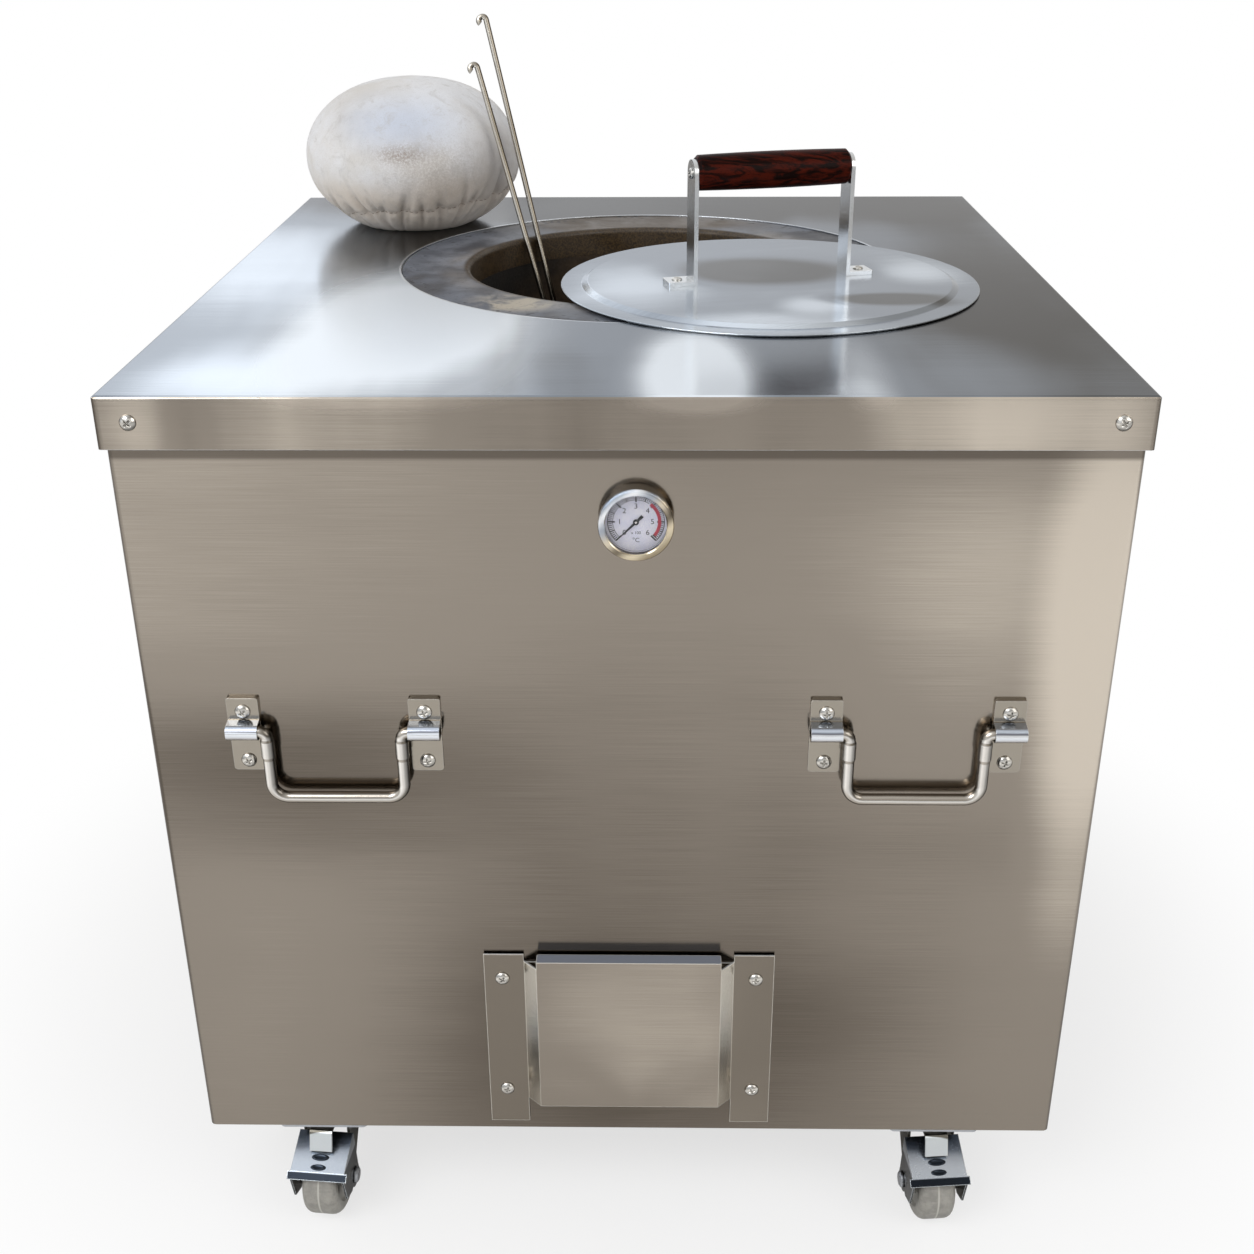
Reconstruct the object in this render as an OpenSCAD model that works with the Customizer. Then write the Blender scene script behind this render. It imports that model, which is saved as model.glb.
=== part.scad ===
// Clay tandoor oven: a bell-shaped clay pot packed into an insulated stainless
// steel cabinet on four braked swivel casters, with an air vent, a dial
// thermometer, folding lift handles, a loose lid, two skewers and a bread cushion.
// Millimetres. The origin is on the floor under the middle of the cabinet,
// +Z is up, +X is to the right and -Y is the front.

/* [Cabinet] */
// Width of the top pan, side to side
top_w = 813; // [780:1:880]
// Depth of the top pan, front to back
top_d = 840; // [810:1:900]
// Height of the top pan's upper face above the floor
top_h = 835; // [800:1:900]
// Height of the top pan's skirt
skirt_h = 43; // [36:1:52]
// Sheet thickness of the top pan
pan_t = 2; // [1.5:0.1:2.5]
// Outside radius of the top pan's bent edges
pan_r = 3; // [2.6:0.1:4]
// Height of the hem folded up inside the skirt
hem_h = 12; // [8:0.5:14]
// Sheet thickness of the shell and of the rear panel
shell_t = 1.5; // [1:0.1:2]
// Outside radius of the shell's upright corners
corner_r = 6; // [4:0.5:9]
// Width of the shell's rear flanges, which carry the rear panel
rear_flange_w = 26; // [22:1:32]
// Thickness of the base plate
base_t = 3; // [2:0.5:4]
// Leg length of the angle iron under the pot
frame_leg = 30; // [24:1:36]
// Thickness of the angle iron
frame_t = 3; // [2:0.5:4]
// Width of the two channels that carry the pot
beam_w = 50; // [40:1:70]
// Distance of each channel from the middle of the pot
beam_offset = 150; // [120:1:180]
// Air space between the shell and the insulation, which holds the screw ends
lining_gap = 12; // [9:0.5:20]

/* [Clay pot] */
// Middle of the mouth, to the right of the cabinet's middle
mouth_x = 15; // [0:1:25]
// Middle of the mouth, behind the cabinet's middle
mouth_y = 50; // [35:1:60]
// Radius of the mouth
mouth_r = 180; // [165:1:190]
// Outer radius of the rim collar
collar_r = 249.5; // [235:0.5:255]
// Thickness of the rim collar
collar_h = 28; // [20:1:36]
// How far the rim collar lies below the top pan's face
collar_drop = 1.5; // [0.5:0.5:4]
// Rounding of the collar's inner edge
collar_round = 5; // [2:0.5:8]
// Wall thickness of the pot
pot_wall = 38; // [28:1:45]
// Inner radius of the pot at its widest
belly_r = 262; // [245:1:270]
// Inner radius of the pot at its foot
foot_r = 236; // [220:1:242]
// Height of the widest place above the pot's foot
belly_h = 120; // [90:5:180]
// Thickness of the fire-clay slab under the pot
slab_t = 50; // [35:1:60]
// Radius of the slab
slab_r = 298; // [290:1:306]

/* [Air vent] */
// Middle of the vent, to the right of the cabinet's middle
vent_x = 2; // [-10:1:10]
// Width of the air passage
vent_w = 140; // [120:1:150]
// Height of the air passage
vent_h = 88; // [70:1:95]
// Height of the passage's floor above the pot's floor
vent_sill = 10; // [6:1:16]
// Sheet thickness of the duct between shell and pot
duct_t = 2; // [1.5:0.5:3]
// Width of the hood's raised face
hood_face_w = 166; // [156:1:172]
// Height of the hood's raised face
hood_face_h = 164.5; // [156:0.5:168]
// Height of the face's lower edge above the floor
hood_face_z = 148; // [144:1:152]
// How far the face stands out from the hood's flanges
hood_out = 12; // [10:0.5:16]
// Sheet thickness of the hood
hood_t = 1.5; // [1:0.1:2]
// Width across both flanges of the hood
hood_w = 263; // [258:1:272]
// How far the flanges run below the face
hood_tail = 28.5; // [22:0.5:34]
// Distance between the two columns of hood screws
hood_screw_w = 230; // [229:0.5:234]
// Distance of the upper hood screws below the face's upper edge
hood_screw_top = 25; // [20:0.5:34]
// Distance of the lower hood screws above the face's lower edge
hood_screw_low = 11; // [10:0.5:20]
// Thickness of the spacers under the flanges
spacer_t = 2; // [2:0.1:3]
// Width of the spacers
spacer_w = 14; // [14:0.5:16]
// Thickness of the sliding damper plate
damper_t = 1.2; // [1:0.1:1.4]
// Width of the damper plate
damper_w = 208; // [204:1:210]
// How far the damper's finger tab stands out
damper_tab = 8; // [6:0.5:10]

/* [Thermometer] */
// Middle of the dial, to the right of the cabinet's middle
gauge_x = 9.5; // [0:0.5:20]
// Height of the dial's middle below the top pan's face
gauge_drop = 101.5; // [85:0.5:130]
// Outer radius of the bezel
bezel_r = 30; // [29:0.5:34]
// Radius of the clear window
window_r = 24; // [22:0.5:25]
// How far the case stands out from the shell
gauge_out = 15; // [14:0.5:18]
// Radius of the probe behind the dial
probe_r = 4; // [3:0.5:5]
// Length of the probe behind the shell
probe_l = 130; // [90:5:140]
// Length of the pointer from its spindle to its tip
pointer_l = 18; // [14:0.5:20]
// Direction of the pointer at rest, turned from the right-hand side
pointer_angle = 225; // [200:5:250]

/* [Handles] */
// Distance of each handle's middle from the cabinet's middle
handle_x = 243.5; // [230:0.5:260]
// Height of the handles' pivots above the floor
handle_z = 547; // [500:1:600]
// Distance between a handle's two brackets
bracket_spacing = 152; // [151:0.5:160]
// Width of a bracket
bracket_w = 26.5; // [25:0.5:28]
// Height of a bracket's plate above the pivot
bracket_up = 27.7; // [26:0.1:34]
// Length of a bracket's plate below the pivot
bracket_down = 41.6; // [38:0.1:48]
// Sheet thickness of a bracket
bracket_t = 2; // [1.5:0.1:2.5]
// Distance of the upper bracket screw above the pivot
bracket_screw_up = 15.5; // [15.5:0.5:19]
// Distance of the lower bracket screw below the pivot
bracket_screw_down = 32; // [24:0.5:32]
// Distance of the pivot from the wall
pivot_out = 11; // [10.5:0.1:13]
// Radius of the handle's rod
bail_r = 5; // [4.5:0.1:5.3]
// Distance between the handle's legs
leg_spacing = 113; // [106:0.5:113]
// Drop of the handle's grip below its pivot
bail_drop = 63; // [55:1:75]
// Radius of the bends beside the grip, on the rod's centre line
bail_bend = 14; // [10:0.5:18]
// Length of the pressed necks at the top of the legs
neck_l = 20; // [14:0.5:24]

/* [Casters] */
// Distance of the casters in from the cabinet's side walls
caster_in_x = 109.2; // [92.2:0.5:132.2]
// Distance of the casters in from the cabinet's front and rear walls
caster_in_y = 33.7; // [33.7:0.5:45.7]
// Overall height of a caster
caster_h = 108; // [106:1:116]
// Width of the mounting plate
plate_w = 84; // [82:1:96]
// Depth of the mounting plate
plate_d = 66; // [62:1:66]
// Thickness of the mounting plate
plate_t = 3; // [2.5:0.1:3.5]
// Bolt spacing along the plate's width
bolt_w = 66; // [66:1:74]
// Bolt spacing along the plate's depth
bolt_d = 45; // [40:1:45]
// Radius of the swivel race
race_r = 27; // [24:0.5:28]
// Radius of the kingpin
kingpin_r = 6; // [5:0.5:8]
// Diameter of the wheel
wheel_d = 76; // [72:1:78]
// Width of the wheel
wheel_w = 36; // [30:1:37]
// Rounding of the wheel's tread
tread_round = 9; // [4:0.5:12]
// Distance of the axle from the swivel axis
trail = 24; // [20:0.5:26]
// Radius of the axle
axle_r = 4.95; // [3.95:0.5:5.95]
// Inner width of the fork
fork_gap = 40; // [39:0.5:44]
// Sheet thickness of the fork
fork_t = 3; // [2.5:0.1:3.5]
// Sheet thickness of the brake pedal
pedal_t = 2; // [1.5:0.1:2.5]
// Width of the pedal's front lip
lip_w = 58; // [56:1:64]
// Turn of each caster away from straight ahead
toe = 5; // [0:1:10]

/* [Lid] */
// Radius of the lid
lid_r = 201; // [190:1:205]
// Middle of the lid, to the right of the cabinet's middle
lid_x = 134; // [120:1:150]
// Middle of the lid, behind the cabinet's middle
lid_y = -50; // [-70:1:-30]
// Sheet thickness of the lid
lid_t = 2; // [1.5:0.1:3]
// Width of the lid's flat rim
lid_rim = 20; // [14:1:30]
// Height of the step inside the rim
lid_step = 3; // [1:0.5:6]
// Turn of the lid, seen from above
lid_turn = 15; // [0:1:30]
// Clear width between the handle's uprights
grip_l = 150; // [130:1:170]
// Radius of the wooden grip at its middle
grip_r = 17; // [15:0.5:20]
// Width of the flat bar of the uprights
strap_w = 25; // [22:0.5:30]
// Thickness of the flat bar of the uprights
strap_t = 4; // [3:0.5:5]
// Height of the uprights' tops above the top pan's face
strap_top = 120; // [105:1:140]
// Length of the uprights' feet
strap_foot = 28; // [26:0.5:34]

/* [Skewers] */
// Radius of the skewers
skewer_r = 3; // [2.5:0.1:3.5]
// Length of the first skewer
skewer_a_l = 905; // [880:1:930]
// Length of the second skewer
skewer_b_l = 868; // [850:1:900]
// Radius of the curl at the skewers' tops, on the centre line
curl_r = 4; // [4:0.1:5.5]

/* [Bread cushion] */
// Middle of the cushion, to the left of the cabinet's middle
cushion_x = -249; // [-262:1:-246]
// Middle of the cushion, behind the cabinet's middle
cushion_y = 265; // [262:1:280]
// Radius of the cushion
cushion_r = 120; // [110:1:122]
// Height of the cushion
cushion_h = 158; // [140:1:165]

/* [Fasteners] */
// Radius of the panel screws' shanks
screw_r = 2.4; // [2:0.1:2.5]
// Radius of the panel screws' button heads
screw_head_r = 6.5; // [5.5:0.1:6.6]
// Height of the panel screws' button heads
screw_head_h = 3.4; // [2.5:0.1:4]
// Length of the panel screws' shanks
screw_l = 10; // [9:0.5:10]
// Radius of the casters' bolts
bolt_r = 3; // [2.5:0.1:3.5]

/* [Hidden] */
$fn = 48;

// Colours, as the materials look
steel = [0.66, 0.64, 0.60];
bright_steel = [0.80, 0.80, 0.80];
dark_steel = [0.42, 0.42, 0.41];
clay = [0.42, 0.32, 0.22];
cement = [0.42, 0.41, 0.40];

// Clearances: between neighbours, in a turning fit, and round a screw
fit_gap = 0.3;
turn_gap = 0.05;
screw_gap = 0.1;
// Overlap of cutting shapes with the faces that they cut
cut = 1;

// The shell stands inside the skirt, its hem and a clearance
skirt_in = 2 * pan_t + fit_gap;
body_w = top_w - 2 * skirt_in;
body_d = top_d - 2 * skirt_in;
body_z0 = caster_h;
body_z1 = top_h - pan_t;
base_top = body_z0 + base_t;
frame_w = body_w - 2 * (shell_t + fit_gap);
frame_d = body_d - 2 * (shell_t + fit_gap) - shell_t;
frame_y = -shell_t / 2;
frame_z1 = base_top + frame_leg;
caster_x = body_w / 2 - caster_in_x;
caster_y = body_d / 2 - caster_in_y;
pad_w = plate_w + 16;
pad_d = plate_d + 14;

// Screws of the skirt and of the rear panel
skirt_screw_in = 26.5;
skirt_screw_z = top_h - 21;
rear_screw_rows = 4;
rear_screw_x = body_w / 2 - corner_r - (rear_flange_w - corner_r) / 2;
rear_screw_margin = 45;

// Pot
slab_z1 = frame_z1 + slab_t;
collar_z1 = top_h - collar_drop;
collar_z0 = collar_z1 - collar_h;
belly_z = slab_z1 + belly_h;
pot_steps_low = 5;
pot_steps_high = 12;

// Vent
vent_z = slab_z1 + vent_sill;
hood_flange_y = spacer_t + hood_t;
hood_face_z1 = hood_face_z + hood_face_h;
hood_flange_z0 = hood_face_z - hood_tail;
hood_flange_z1 = hood_face_z1 + hood_t;
hood_lip_gap = 3;
hood_notch_h = 6;
damper_z0 = hood_face_z + 2;
damper_h = hood_face_h - 10;
damper_y = (spacer_t - damper_t) / 2;
ledge_h = 8;

// Thermometer, measured outwards from the shell's face
gauge_z = top_h - gauge_drop;
case_back_t = 2;
case_wall = 2;
case_r = bezel_r - 2;
bezel_depth = 5;
dial_y = 4;
dial_t = 0.8;
pointer_y = dial_y + dial_t + 0.7;
pointer_t = 0.6;
spindle_r = 1;
window_t = 2;
window_y = gauge_out - 2.8 - window_t;

// Handles
bracket_round = 3;
elbow_bend = bail_r + 1.2;
neck_r = bail_r + 0.8;
strap_z = 8.5;

// Casters
axle_z = wheel_d / 2;
race_h = 3.6;
crown_z1 = caster_h - plate_t - race_h - 0.6;
crown_z0 = crown_z1 - fork_t;
pedal_gap = fork_gap + 2 * fork_t + 3;
pedal_w = pedal_gap + 2 * pedal_t;
boss_r = 12;
lug_drop = 20;
bolt_head_r = bolt_r + 2.2;
bolt_head_h = 3.6;
nut_h = 5;

// Lid, which rests on the top pan
lid_z = top_h + fit_gap;
lid_top = lid_z + lid_step + lid_t;
grip_z = top_h + strap_top - strap_w / 2;
lid_screw_r = 2.4;
lid_head_r = 5;
lid_head_h = 2.4;

// Skewers: place of the rim contact round the mouth, and of the foot on the slab
skewer_a_rim = 132.6;
skewer_b_rim = 138.2;
skewer_a_foot = [48, 50];
skewer_b_foot = [67, 30];
skewer_tip = 14;
curl_angle = 215;
curl_turn = 222;

// Cushion: faces, pleats and the seam's height as an angle below the middle
cushion_rings = 18;
cushion_sides = 64;
cushion_pleats = 16;
seam_angle = -24;
seam_depth = 3.5;
pleat_depth = 2.2;
cushion_flat = 5;

// ---------------------------------------------------------------- helpers

// Rectangle with rounded corners, in the middle of the plane
module rounded_rect(w, d, r) {
    square([w - 2 * r, d], center = true);
    square([w, d - 2 * r], center = true);
    for (sx = [-1, 1], sy = [-1, 1]) {
        translate([sx * (w / 2 - r), sy * (d / 2 - r)]) circle(r);
    }
}

// Ring between two rounded rectangles, t wide
module rounded_ring(w, d, r, t) {
    difference() {
        rounded_rect(w, d, r);
        rounded_rect(w - 2 * t, d - 2 * t, max(r - t, 0.2));
    }
}

// A profile drawn in depth and height, drawn out along X
module along_x(l) {
    rotate([90, 0, 90]) linear_extrude(l, center = true) children();
}

// A profile drawn in width and height, drawn out along Y from 0 to l
module along_y(l) {
    translate([0, l, 0]) rotate([90, 0, 0]) linear_extrude(l) children();
}

// Turns a shape whose axis is Z so that its axis points along +Y
module axis_to_y() {
    rotate([-90, 0, 0]) children();
}

// Turns a shape whose axis is Z so that its axis points along +X
module axis_to_x() {
    rotate([0, 90, 0]) children();
}

// Shapes are drawn on a wall that faces +Y; the front ones are mirrored there
module facing(side) {
    if (side > 0) {
        children();
    } else {
        mirror([0, 1, 0]) children();
    }
}

// Puts shapes on the front (-1) or rear (1) wall, with y = 0 on its outer face
module on_wall(side) {
    facing(side) translate([0, body_d / 2, 0]) children();
}

// Turns shapes drawn for the right end of something into both ends
module both_ends() {
    children();
    mirror([1, 0, 0]) children();
}

// Cutting cylinder along Y, through a wall at y = 0
module wall_hole(r) {
    translate([0, -screw_l, 0]) axis_to_y() cylinder(h = 2 * screw_l, r = r);
}

// Button-head screw that points into a wall: the head's seat is at y = 0
module button_screw() {
    axis_to_y() rotate_extrude() polygon([
        [0, -screw_l], [screw_r, -screw_l], [screw_r, 0], [screw_head_r, 0], [screw_head_r, 0.25 * screw_head_h],
        [0.9 * screw_head_r, 0.62 * screw_head_h], [0.65 * screw_head_r, 0.9 * screw_head_h],
        [0.35 * screw_head_r, screw_head_h], [0, screw_head_h]
    ]);
}

// Places shared by the panel screws and by the holes that they pass through

module at_skirt_screws() {
    for (sx = [-1, 1]) translate([sx * (top_w / 2 - skirt_screw_in), skirt_in, skirt_screw_z]) children();
}

module at_bracket_screws(y) {
    for (sx = [-1, 1], end = [-1, 1]) {
        translate([sx * handle_x + end * bracket_spacing / 2, 0, handle_z]) {
            translate([0, y[0], bracket_screw_up]) children();
            translate([0, y[1], -bracket_screw_down]) children();
        }
    }
}

module at_hood_screws() {
    for (sx = [-1, 1], z = [hood_face_z + hood_screw_low, hood_face_z1 - hood_screw_top]) {
        translate([vent_x + sx * hood_screw_w / 2, 0, z]) children();
    }
}

module at_rear_screws() {
    low = body_z0 + rear_screw_margin;
    high = top_h - skirt_h - rear_screw_margin;
    for (sx = [-1, 1], i = [0 : rear_screw_rows - 1]) {
        translate([sx * rear_screw_x, 0, low + i * (high - low) / (rear_screw_rows - 1)]) children();
    }
}

// ---------------------------------------------------------------- cabinet

module outer_shell() {
    hole_r = screw_r + screw_gap;
    color(steel) difference() {
        translate([0, 0, body_z0]) linear_extrude(body_z1 - body_z0) difference() {
            translate([0, -shell_t / 2]) rounded_ring(body_w, body_d - shell_t, corner_r, shell_t);
            translate([0, body_d / 2]) square([body_w - 2 * rear_flange_w, 4 * shell_t + 2], center = true);
        }
        on_wall(-1) {
            at_skirt_screws() wall_hole(hole_r);
            at_bracket_screws([0, 0]) wall_hole(hole_r);
            at_hood_screws() wall_hole(hole_r);
            translate([gauge_x, 0, gauge_z]) wall_hole(probe_r + screw_gap);
            translate([vent_x - vent_w / 2, -2 * shell_t, vent_z]) cube([vent_w, 4 * shell_t, vent_h]);
        }
        on_wall(1) {
            at_skirt_screws() wall_hole(hole_r);
            at_rear_screws() wall_hole(hole_r);
        }
    }
}

module rear_panel() {
    hole_r = screw_r + screw_gap;
    color(steel) difference() {
        on_wall(1) translate([0, -shell_t, 0]) along_y(shell_t) {
            translate([0, (body_z0 + body_z1) / 2]) rounded_rect(body_w - 2 * corner_r, body_z1 - body_z0, 1);
        }
        on_wall(1) {
            at_skirt_screws() wall_hole(hole_r);
            at_rear_screws() wall_hole(hole_r);
            at_bracket_screws([0, 0]) wall_hole(hole_r);
        }
    }
}

// The deck and skirt, rounded along every bent edge
module pan_body() {
    half_h = skirt_h + pan_r;
    intersection() {
        translate([0, 0, top_h - skirt_h]) linear_extrude(skirt_h) rounded_rect(top_w, top_d, pan_r);
        translate([0, 0, top_h - half_h]) along_x(top_w + 2 * cut) rounded_rect(top_d, 2 * half_h, pan_r);
        translate([0, -top_d / 2 - cut, top_h - half_h]) along_y(top_d + 2 * cut) {
            rounded_rect(top_w, 2 * half_h, pan_r);
        }
    }
}

module top_pan() {
    hole_r = screw_r + screw_gap;
    inner_r = pan_r - pan_t;
    color(steel) difference() {
        pan_body();
        translate([0, 0, top_h - skirt_h - cut]) linear_extrude(skirt_h - pan_t + cut) {
            rounded_rect(top_w - 4 * pan_t, top_d - 4 * pan_t, inner_r);
        }
        translate([0, 0, top_h - skirt_h + hem_h]) linear_extrude(skirt_h - pan_t - hem_h) {
            rounded_rect(top_w - 2 * pan_t, top_d - 2 * pan_t, inner_r);
        }
        translate([mouth_x, mouth_y, top_h - pan_t - cut]) cylinder(h = pan_t + 2 * cut, r = collar_r + fit_gap);
        on_wall(-1) at_skirt_screws() wall_hole(hole_r);
        on_wall(1) at_skirt_screws() wall_hole(hole_r);
    }
}

// Places of the four casters, drawn for a caster whose pedal faces +Y
module at_plate(sx, sy) {
    facing(sy) translate([sx * caster_x, caster_y, 0]) children();
}

// The same for what swivels, turned by the toe
module at_caster(sx, sy) {
    at_plate(sx, sy) rotate([0, 0, -sx * toe]) children();
}

module at_caster_bolts() {
    for (bx = [-1, 1], by = [-1, 1]) translate([bx * bolt_w / 2, by * bolt_d / 2, 0]) children();
}

module caster_bolt_holes() {
    for (sx = [-1, 1], sy = [-1, 1]) {
        at_plate(sx, sy) at_caster_bolts() translate([0, 0, caster_h - cut]) {
            cylinder(h = base_t + frame_t + 2 * cut, r = bolt_r + screw_gap);
        }
    }
}

module base_plate() {
    color(steel) difference() {
        translate([0, frame_y, body_z0]) linear_extrude(base_t) {
            rounded_rect(frame_w, frame_d, corner_r - shell_t);
        }
        caster_bolt_holes();
    }
}

// Angle-iron ring with two channels under the pot and a pad over each caster
module base_frame() {
    beam_l = frame_w - 2 * frame_t;
    color(dark_steel) difference() {
        translate([0, 0, base_top]) {
            translate([0, frame_y, 0]) linear_extrude(frame_t) {
                rounded_ring(frame_w, frame_d, corner_r - shell_t, frame_leg);
            }
            translate([0, frame_y, 0]) linear_extrude(frame_leg) {
                rounded_ring(frame_w, frame_d, corner_r - shell_t, frame_t);
            }
            for (side = [-1, 1]) translate([0, mouth_y + side * beam_offset, 0]) difference() {
                translate([-beam_l / 2 - cut / 2, -beam_w / 2, 0]) cube([beam_l + cut, beam_w, frame_leg]);
                translate([-beam_l, frame_t - beam_w / 2, -cut]) {
                    cube([2 * beam_l, beam_w - 2 * frame_t, frame_leg - frame_t + cut]);
                }
            }
            for (sx = [-1, 1], sy = [-1, 1]) {
                translate([sx * caster_x - pad_w / 2, sy * (frame_d / 2 - pad_d / 2) - pad_d / 2 + frame_y, 0]) {
                    cube([pad_w, pad_d, frame_t]);
                }
            }
        }
        caster_bolt_holes();
    }
}

// ---------------------------------------------------------------- clay pot

// Inner radius of the pot at height z: a rounded foot, a belly and a drawn-in neck
function pot_inner(z) =
    z < belly_z
    ? belly_r - (belly_r - foot_r) * pow((belly_z - z) / belly_h, 2)
    : mouth_r + (belly_r - mouth_r) * (1 + cos(180 * (z - belly_z) / (collar_z0 - belly_z))) / 2;

pot_heights = concat(
    [for (i = [0 : pot_steps_low - 1]) slab_z1 + belly_h * i / pot_steps_low],
    [for (i = [0 : pot_steps_high]) belly_z + (collar_z0 - belly_z) * i / pot_steps_high]
);

// The pot filled up solid, grown by a clearance
module pot_envelope(gap) {
    low = pot_heights[0] - gap;
    high = collar_z0 + gap;
    translate([mouth_x, mouth_y, 0]) rotate_extrude() polygon(concat(
        [[0, high], [0, low], [foot_r + pot_wall + gap, low]],
        [for (z = pot_heights) [pot_inner(z) + pot_wall + gap, z]],
        [[mouth_r + pot_wall + gap, high]]
    ));
}

// The air passage from the shell to the pot's hollow, grown by a clearance
module passage(grow, y1) {
    y0 = -body_d / 2 + shell_t;
    translate([vent_x - vent_w / 2 - grow, y0, vent_z - grow]) {
        cube([vent_w + 2 * grow, y1 - y0, vent_h + 2 * grow]);
    }
}

module clay_pot() {
    last = len(pot_heights) - 1;
    color(clay) difference() {
        translate([mouth_x, mouth_y, 0]) rotate_extrude() polygon(concat(
            [for (z = pot_heights) [pot_inner(z), z]],
            [for (i = [0 : last]) let (z = pot_heights[last - i]) [pot_inner(z) + pot_wall, z]]
        ));
        passage(0, mouth_y - foot_r / 2);
    }
}

module pot_slab() {
    color(clay) translate([mouth_x, mouth_y, frame_z1]) cylinder(h = slab_t, r = slab_r);
}

module rim_collar() {
    arc_steps = 6;
    color(cement) translate([mouth_x, mouth_y, 0]) rotate_extrude() polygon(concat(
        [[mouth_r, collar_z0], [collar_r, collar_z0], [collar_r, collar_z1 - 1], [collar_r - 1, collar_z1]],
        [for (i = [0 : arc_steps]) let (a = 90 + 90 * i / arc_steps) [
            mouth_r + collar_round * (1 + cos(a)),
            collar_z1 + collar_round * (sin(a) - 1)
        ]]
    ));
}

module insulation() {
    wall_in = shell_t + lining_gap;
    z1 = body_z1 - fit_gap;
    color([0.90, 0.88, 0.82]) difference() {
        translate([0, 0, frame_z1]) linear_extrude(z1 - frame_z1) {
            rounded_rect(body_w - 2 * wall_in, body_d - 2 * wall_in, corner_r);
        }
        pot_envelope(fit_gap);
        translate([mouth_x, mouth_y, frame_z1 - cut]) cylinder(h = slab_t + cut + fit_gap, r = slab_r + fit_gap);
        translate([mouth_x, mouth_y, collar_z0 - fit_gap]) cylinder(h = collar_h + cut, r = collar_r + fit_gap);
        passage(duct_t + fit_gap, mouth_y);
        on_wall(-1) translate([gauge_x, -probe_l - 2, gauge_z]) axis_to_y() {
            cylinder(h = probe_l, r = probe_r + fit_gap);
        }
    }
}

module vent_duct() {
    color(dark_steel) difference() {
        passage(duct_t, mouth_y);
        translate([0, -shell_t, 0]) passage(0, mouth_y + 2 * shell_t);
        pot_envelope(fit_gap);
    }
}

// ---------------------------------------------------------------- air vent

// Bent section of the hood, seen from above: outer faces at y = 0 and y = hood_out
module hood_section() {
    corner = hood_t * tan(22.5);
    face = hood_face_w / 2;
    wing = hood_w / 2;
    half = [
        [wing, -hood_t], [wing, 0], [face + hood_out, 0], [face, hood_out]
    ];
    inner = [[face - corner, hood_out - hood_t], [face + hood_out - corner, -hood_t]];
    polygon(concat(
        half, [for (i = [3 : -1 : 0]) [-half[i][0], half[i][1]]],
        [for (i = [1, 0]) [-inner[i][0], inner[i][1]]], inner
    ));
}

// Places of the hood screws, drawn about the vent's middle
module at_screws_on_hood() {
    translate([-vent_x, 0, 0]) at_hood_screws() children();
}

module vent_hood() {
    wing_in = hood_face_w / 2 + hood_out;
    lip_d = hood_flange_y + hood_out - hood_lip_gap;
    color(steel) on_wall(-1) translate([vent_x, 0, 0]) difference() {
        union() {
            translate([0, hood_flange_y, hood_flange_z0]) {
                linear_extrude(hood_flange_z1 - hood_flange_z0) hood_section();
            }
            // lip folded back over the top of the face
            translate([0, hood_flange_y + hood_out - lip_d, hood_face_z1]) linear_extrude(hood_t) {
                translate([-hood_face_w / 2, 2]) square([hood_face_w, lip_d - 2]);
                translate([0, lip_d / 2]) rounded_rect(hood_face_w, lip_d, 2);
            }
        }
        // the face ends above the flanges' feet
        translate([-wing_in, hood_flange_y - hood_t - cut, hood_flange_z0 - cut]) {
            cube([2 * wing_in, hood_t + hood_out + 2 * cut, hood_tail + cut]);
        }
        // relief cuts beside the folded lip
        both_ends() translate([hood_face_w / 2, hood_flange_y - hood_t - cut, hood_face_z1 - hood_notch_h]) {
            cube([hood_out, hood_t + hood_out + 2 * cut, hood_notch_h + 2 * hood_t]);
        }
        at_screws_on_hood() wall_hole(screw_r + screw_gap);
    }
}

// Washers under the upper screws, and angled strips below that the damper rests on
module hood_spacers() {
    outer_x = (hood_screw_w + spacer_w) / 2;
    reach = outer_x - damper_w / 2 + 8;
    ledge_z = damper_z0 - fit_gap - ledge_h;
    strip_h = hood_face_z + hood_screw_low - ledge_z;
    color(bright_steel) on_wall(-1) translate([vent_x, 0, 0]) difference() {
        union() {
            at_screws_on_hood() along_y(spacer_t) rounded_rect(spacer_w, spacer_w, 2);
            both_ends() translate([0, 0, ledge_z]) {
                translate([outer_x - reach, 0, 0]) cube([reach, spacer_t, ledge_h]);
                translate([outer_x - spacer_w, 0, 0]) cube([spacer_w, spacer_t, strip_h]);
            }
        }
        at_screws_on_hood() wall_hole(screw_r + screw_gap);
    }
}

module vent_damper() {
    tab_w = 60;
    color(bright_steel) on_wall(-1) translate([vent_x, damper_y, damper_z0]) {
        translate([0, 0, damper_h / 2]) along_y(damper_t) rounded_rect(damper_w, damper_h, 3);
        translate([-tab_w / 2, 0, 0]) cube([tab_w, damper_t + damper_tab, damper_t]);
    }
}

// ---------------------------------------------------------------- thermometer

// Puts a turned shape, drawn outwards along Z, at the dial's middle
module at_gauge() {
    on_wall(-1) translate([gauge_x, 0, gauge_z]) axis_to_y() children();
}

module thermometer_case() {
    step_z = gauge_out - bezel_depth;
    color(bright_steel) at_gauge() rotate_extrude() polygon([
        [probe_r + screw_gap, 0], [case_r, 0], [case_r, step_z], [bezel_r, step_z + 0.8],
        [bezel_r, gauge_out - 1.8], [bezel_r - 0.8, gauge_out - 0.5], [bezel_r - 2.2, gauge_out],
        [window_r + 1.2, gauge_out], [window_r + 0.2, gauge_out - 1], [window_r + 0.2, window_y + window_t],
        [case_r - case_wall, window_y + window_t], [case_r - case_wall, dial_y],
        [case_r - case_wall - 2, dial_y], [case_r - case_wall - 2, case_back_t],
        [probe_r + screw_gap, case_back_t]
    ]);
}

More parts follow.
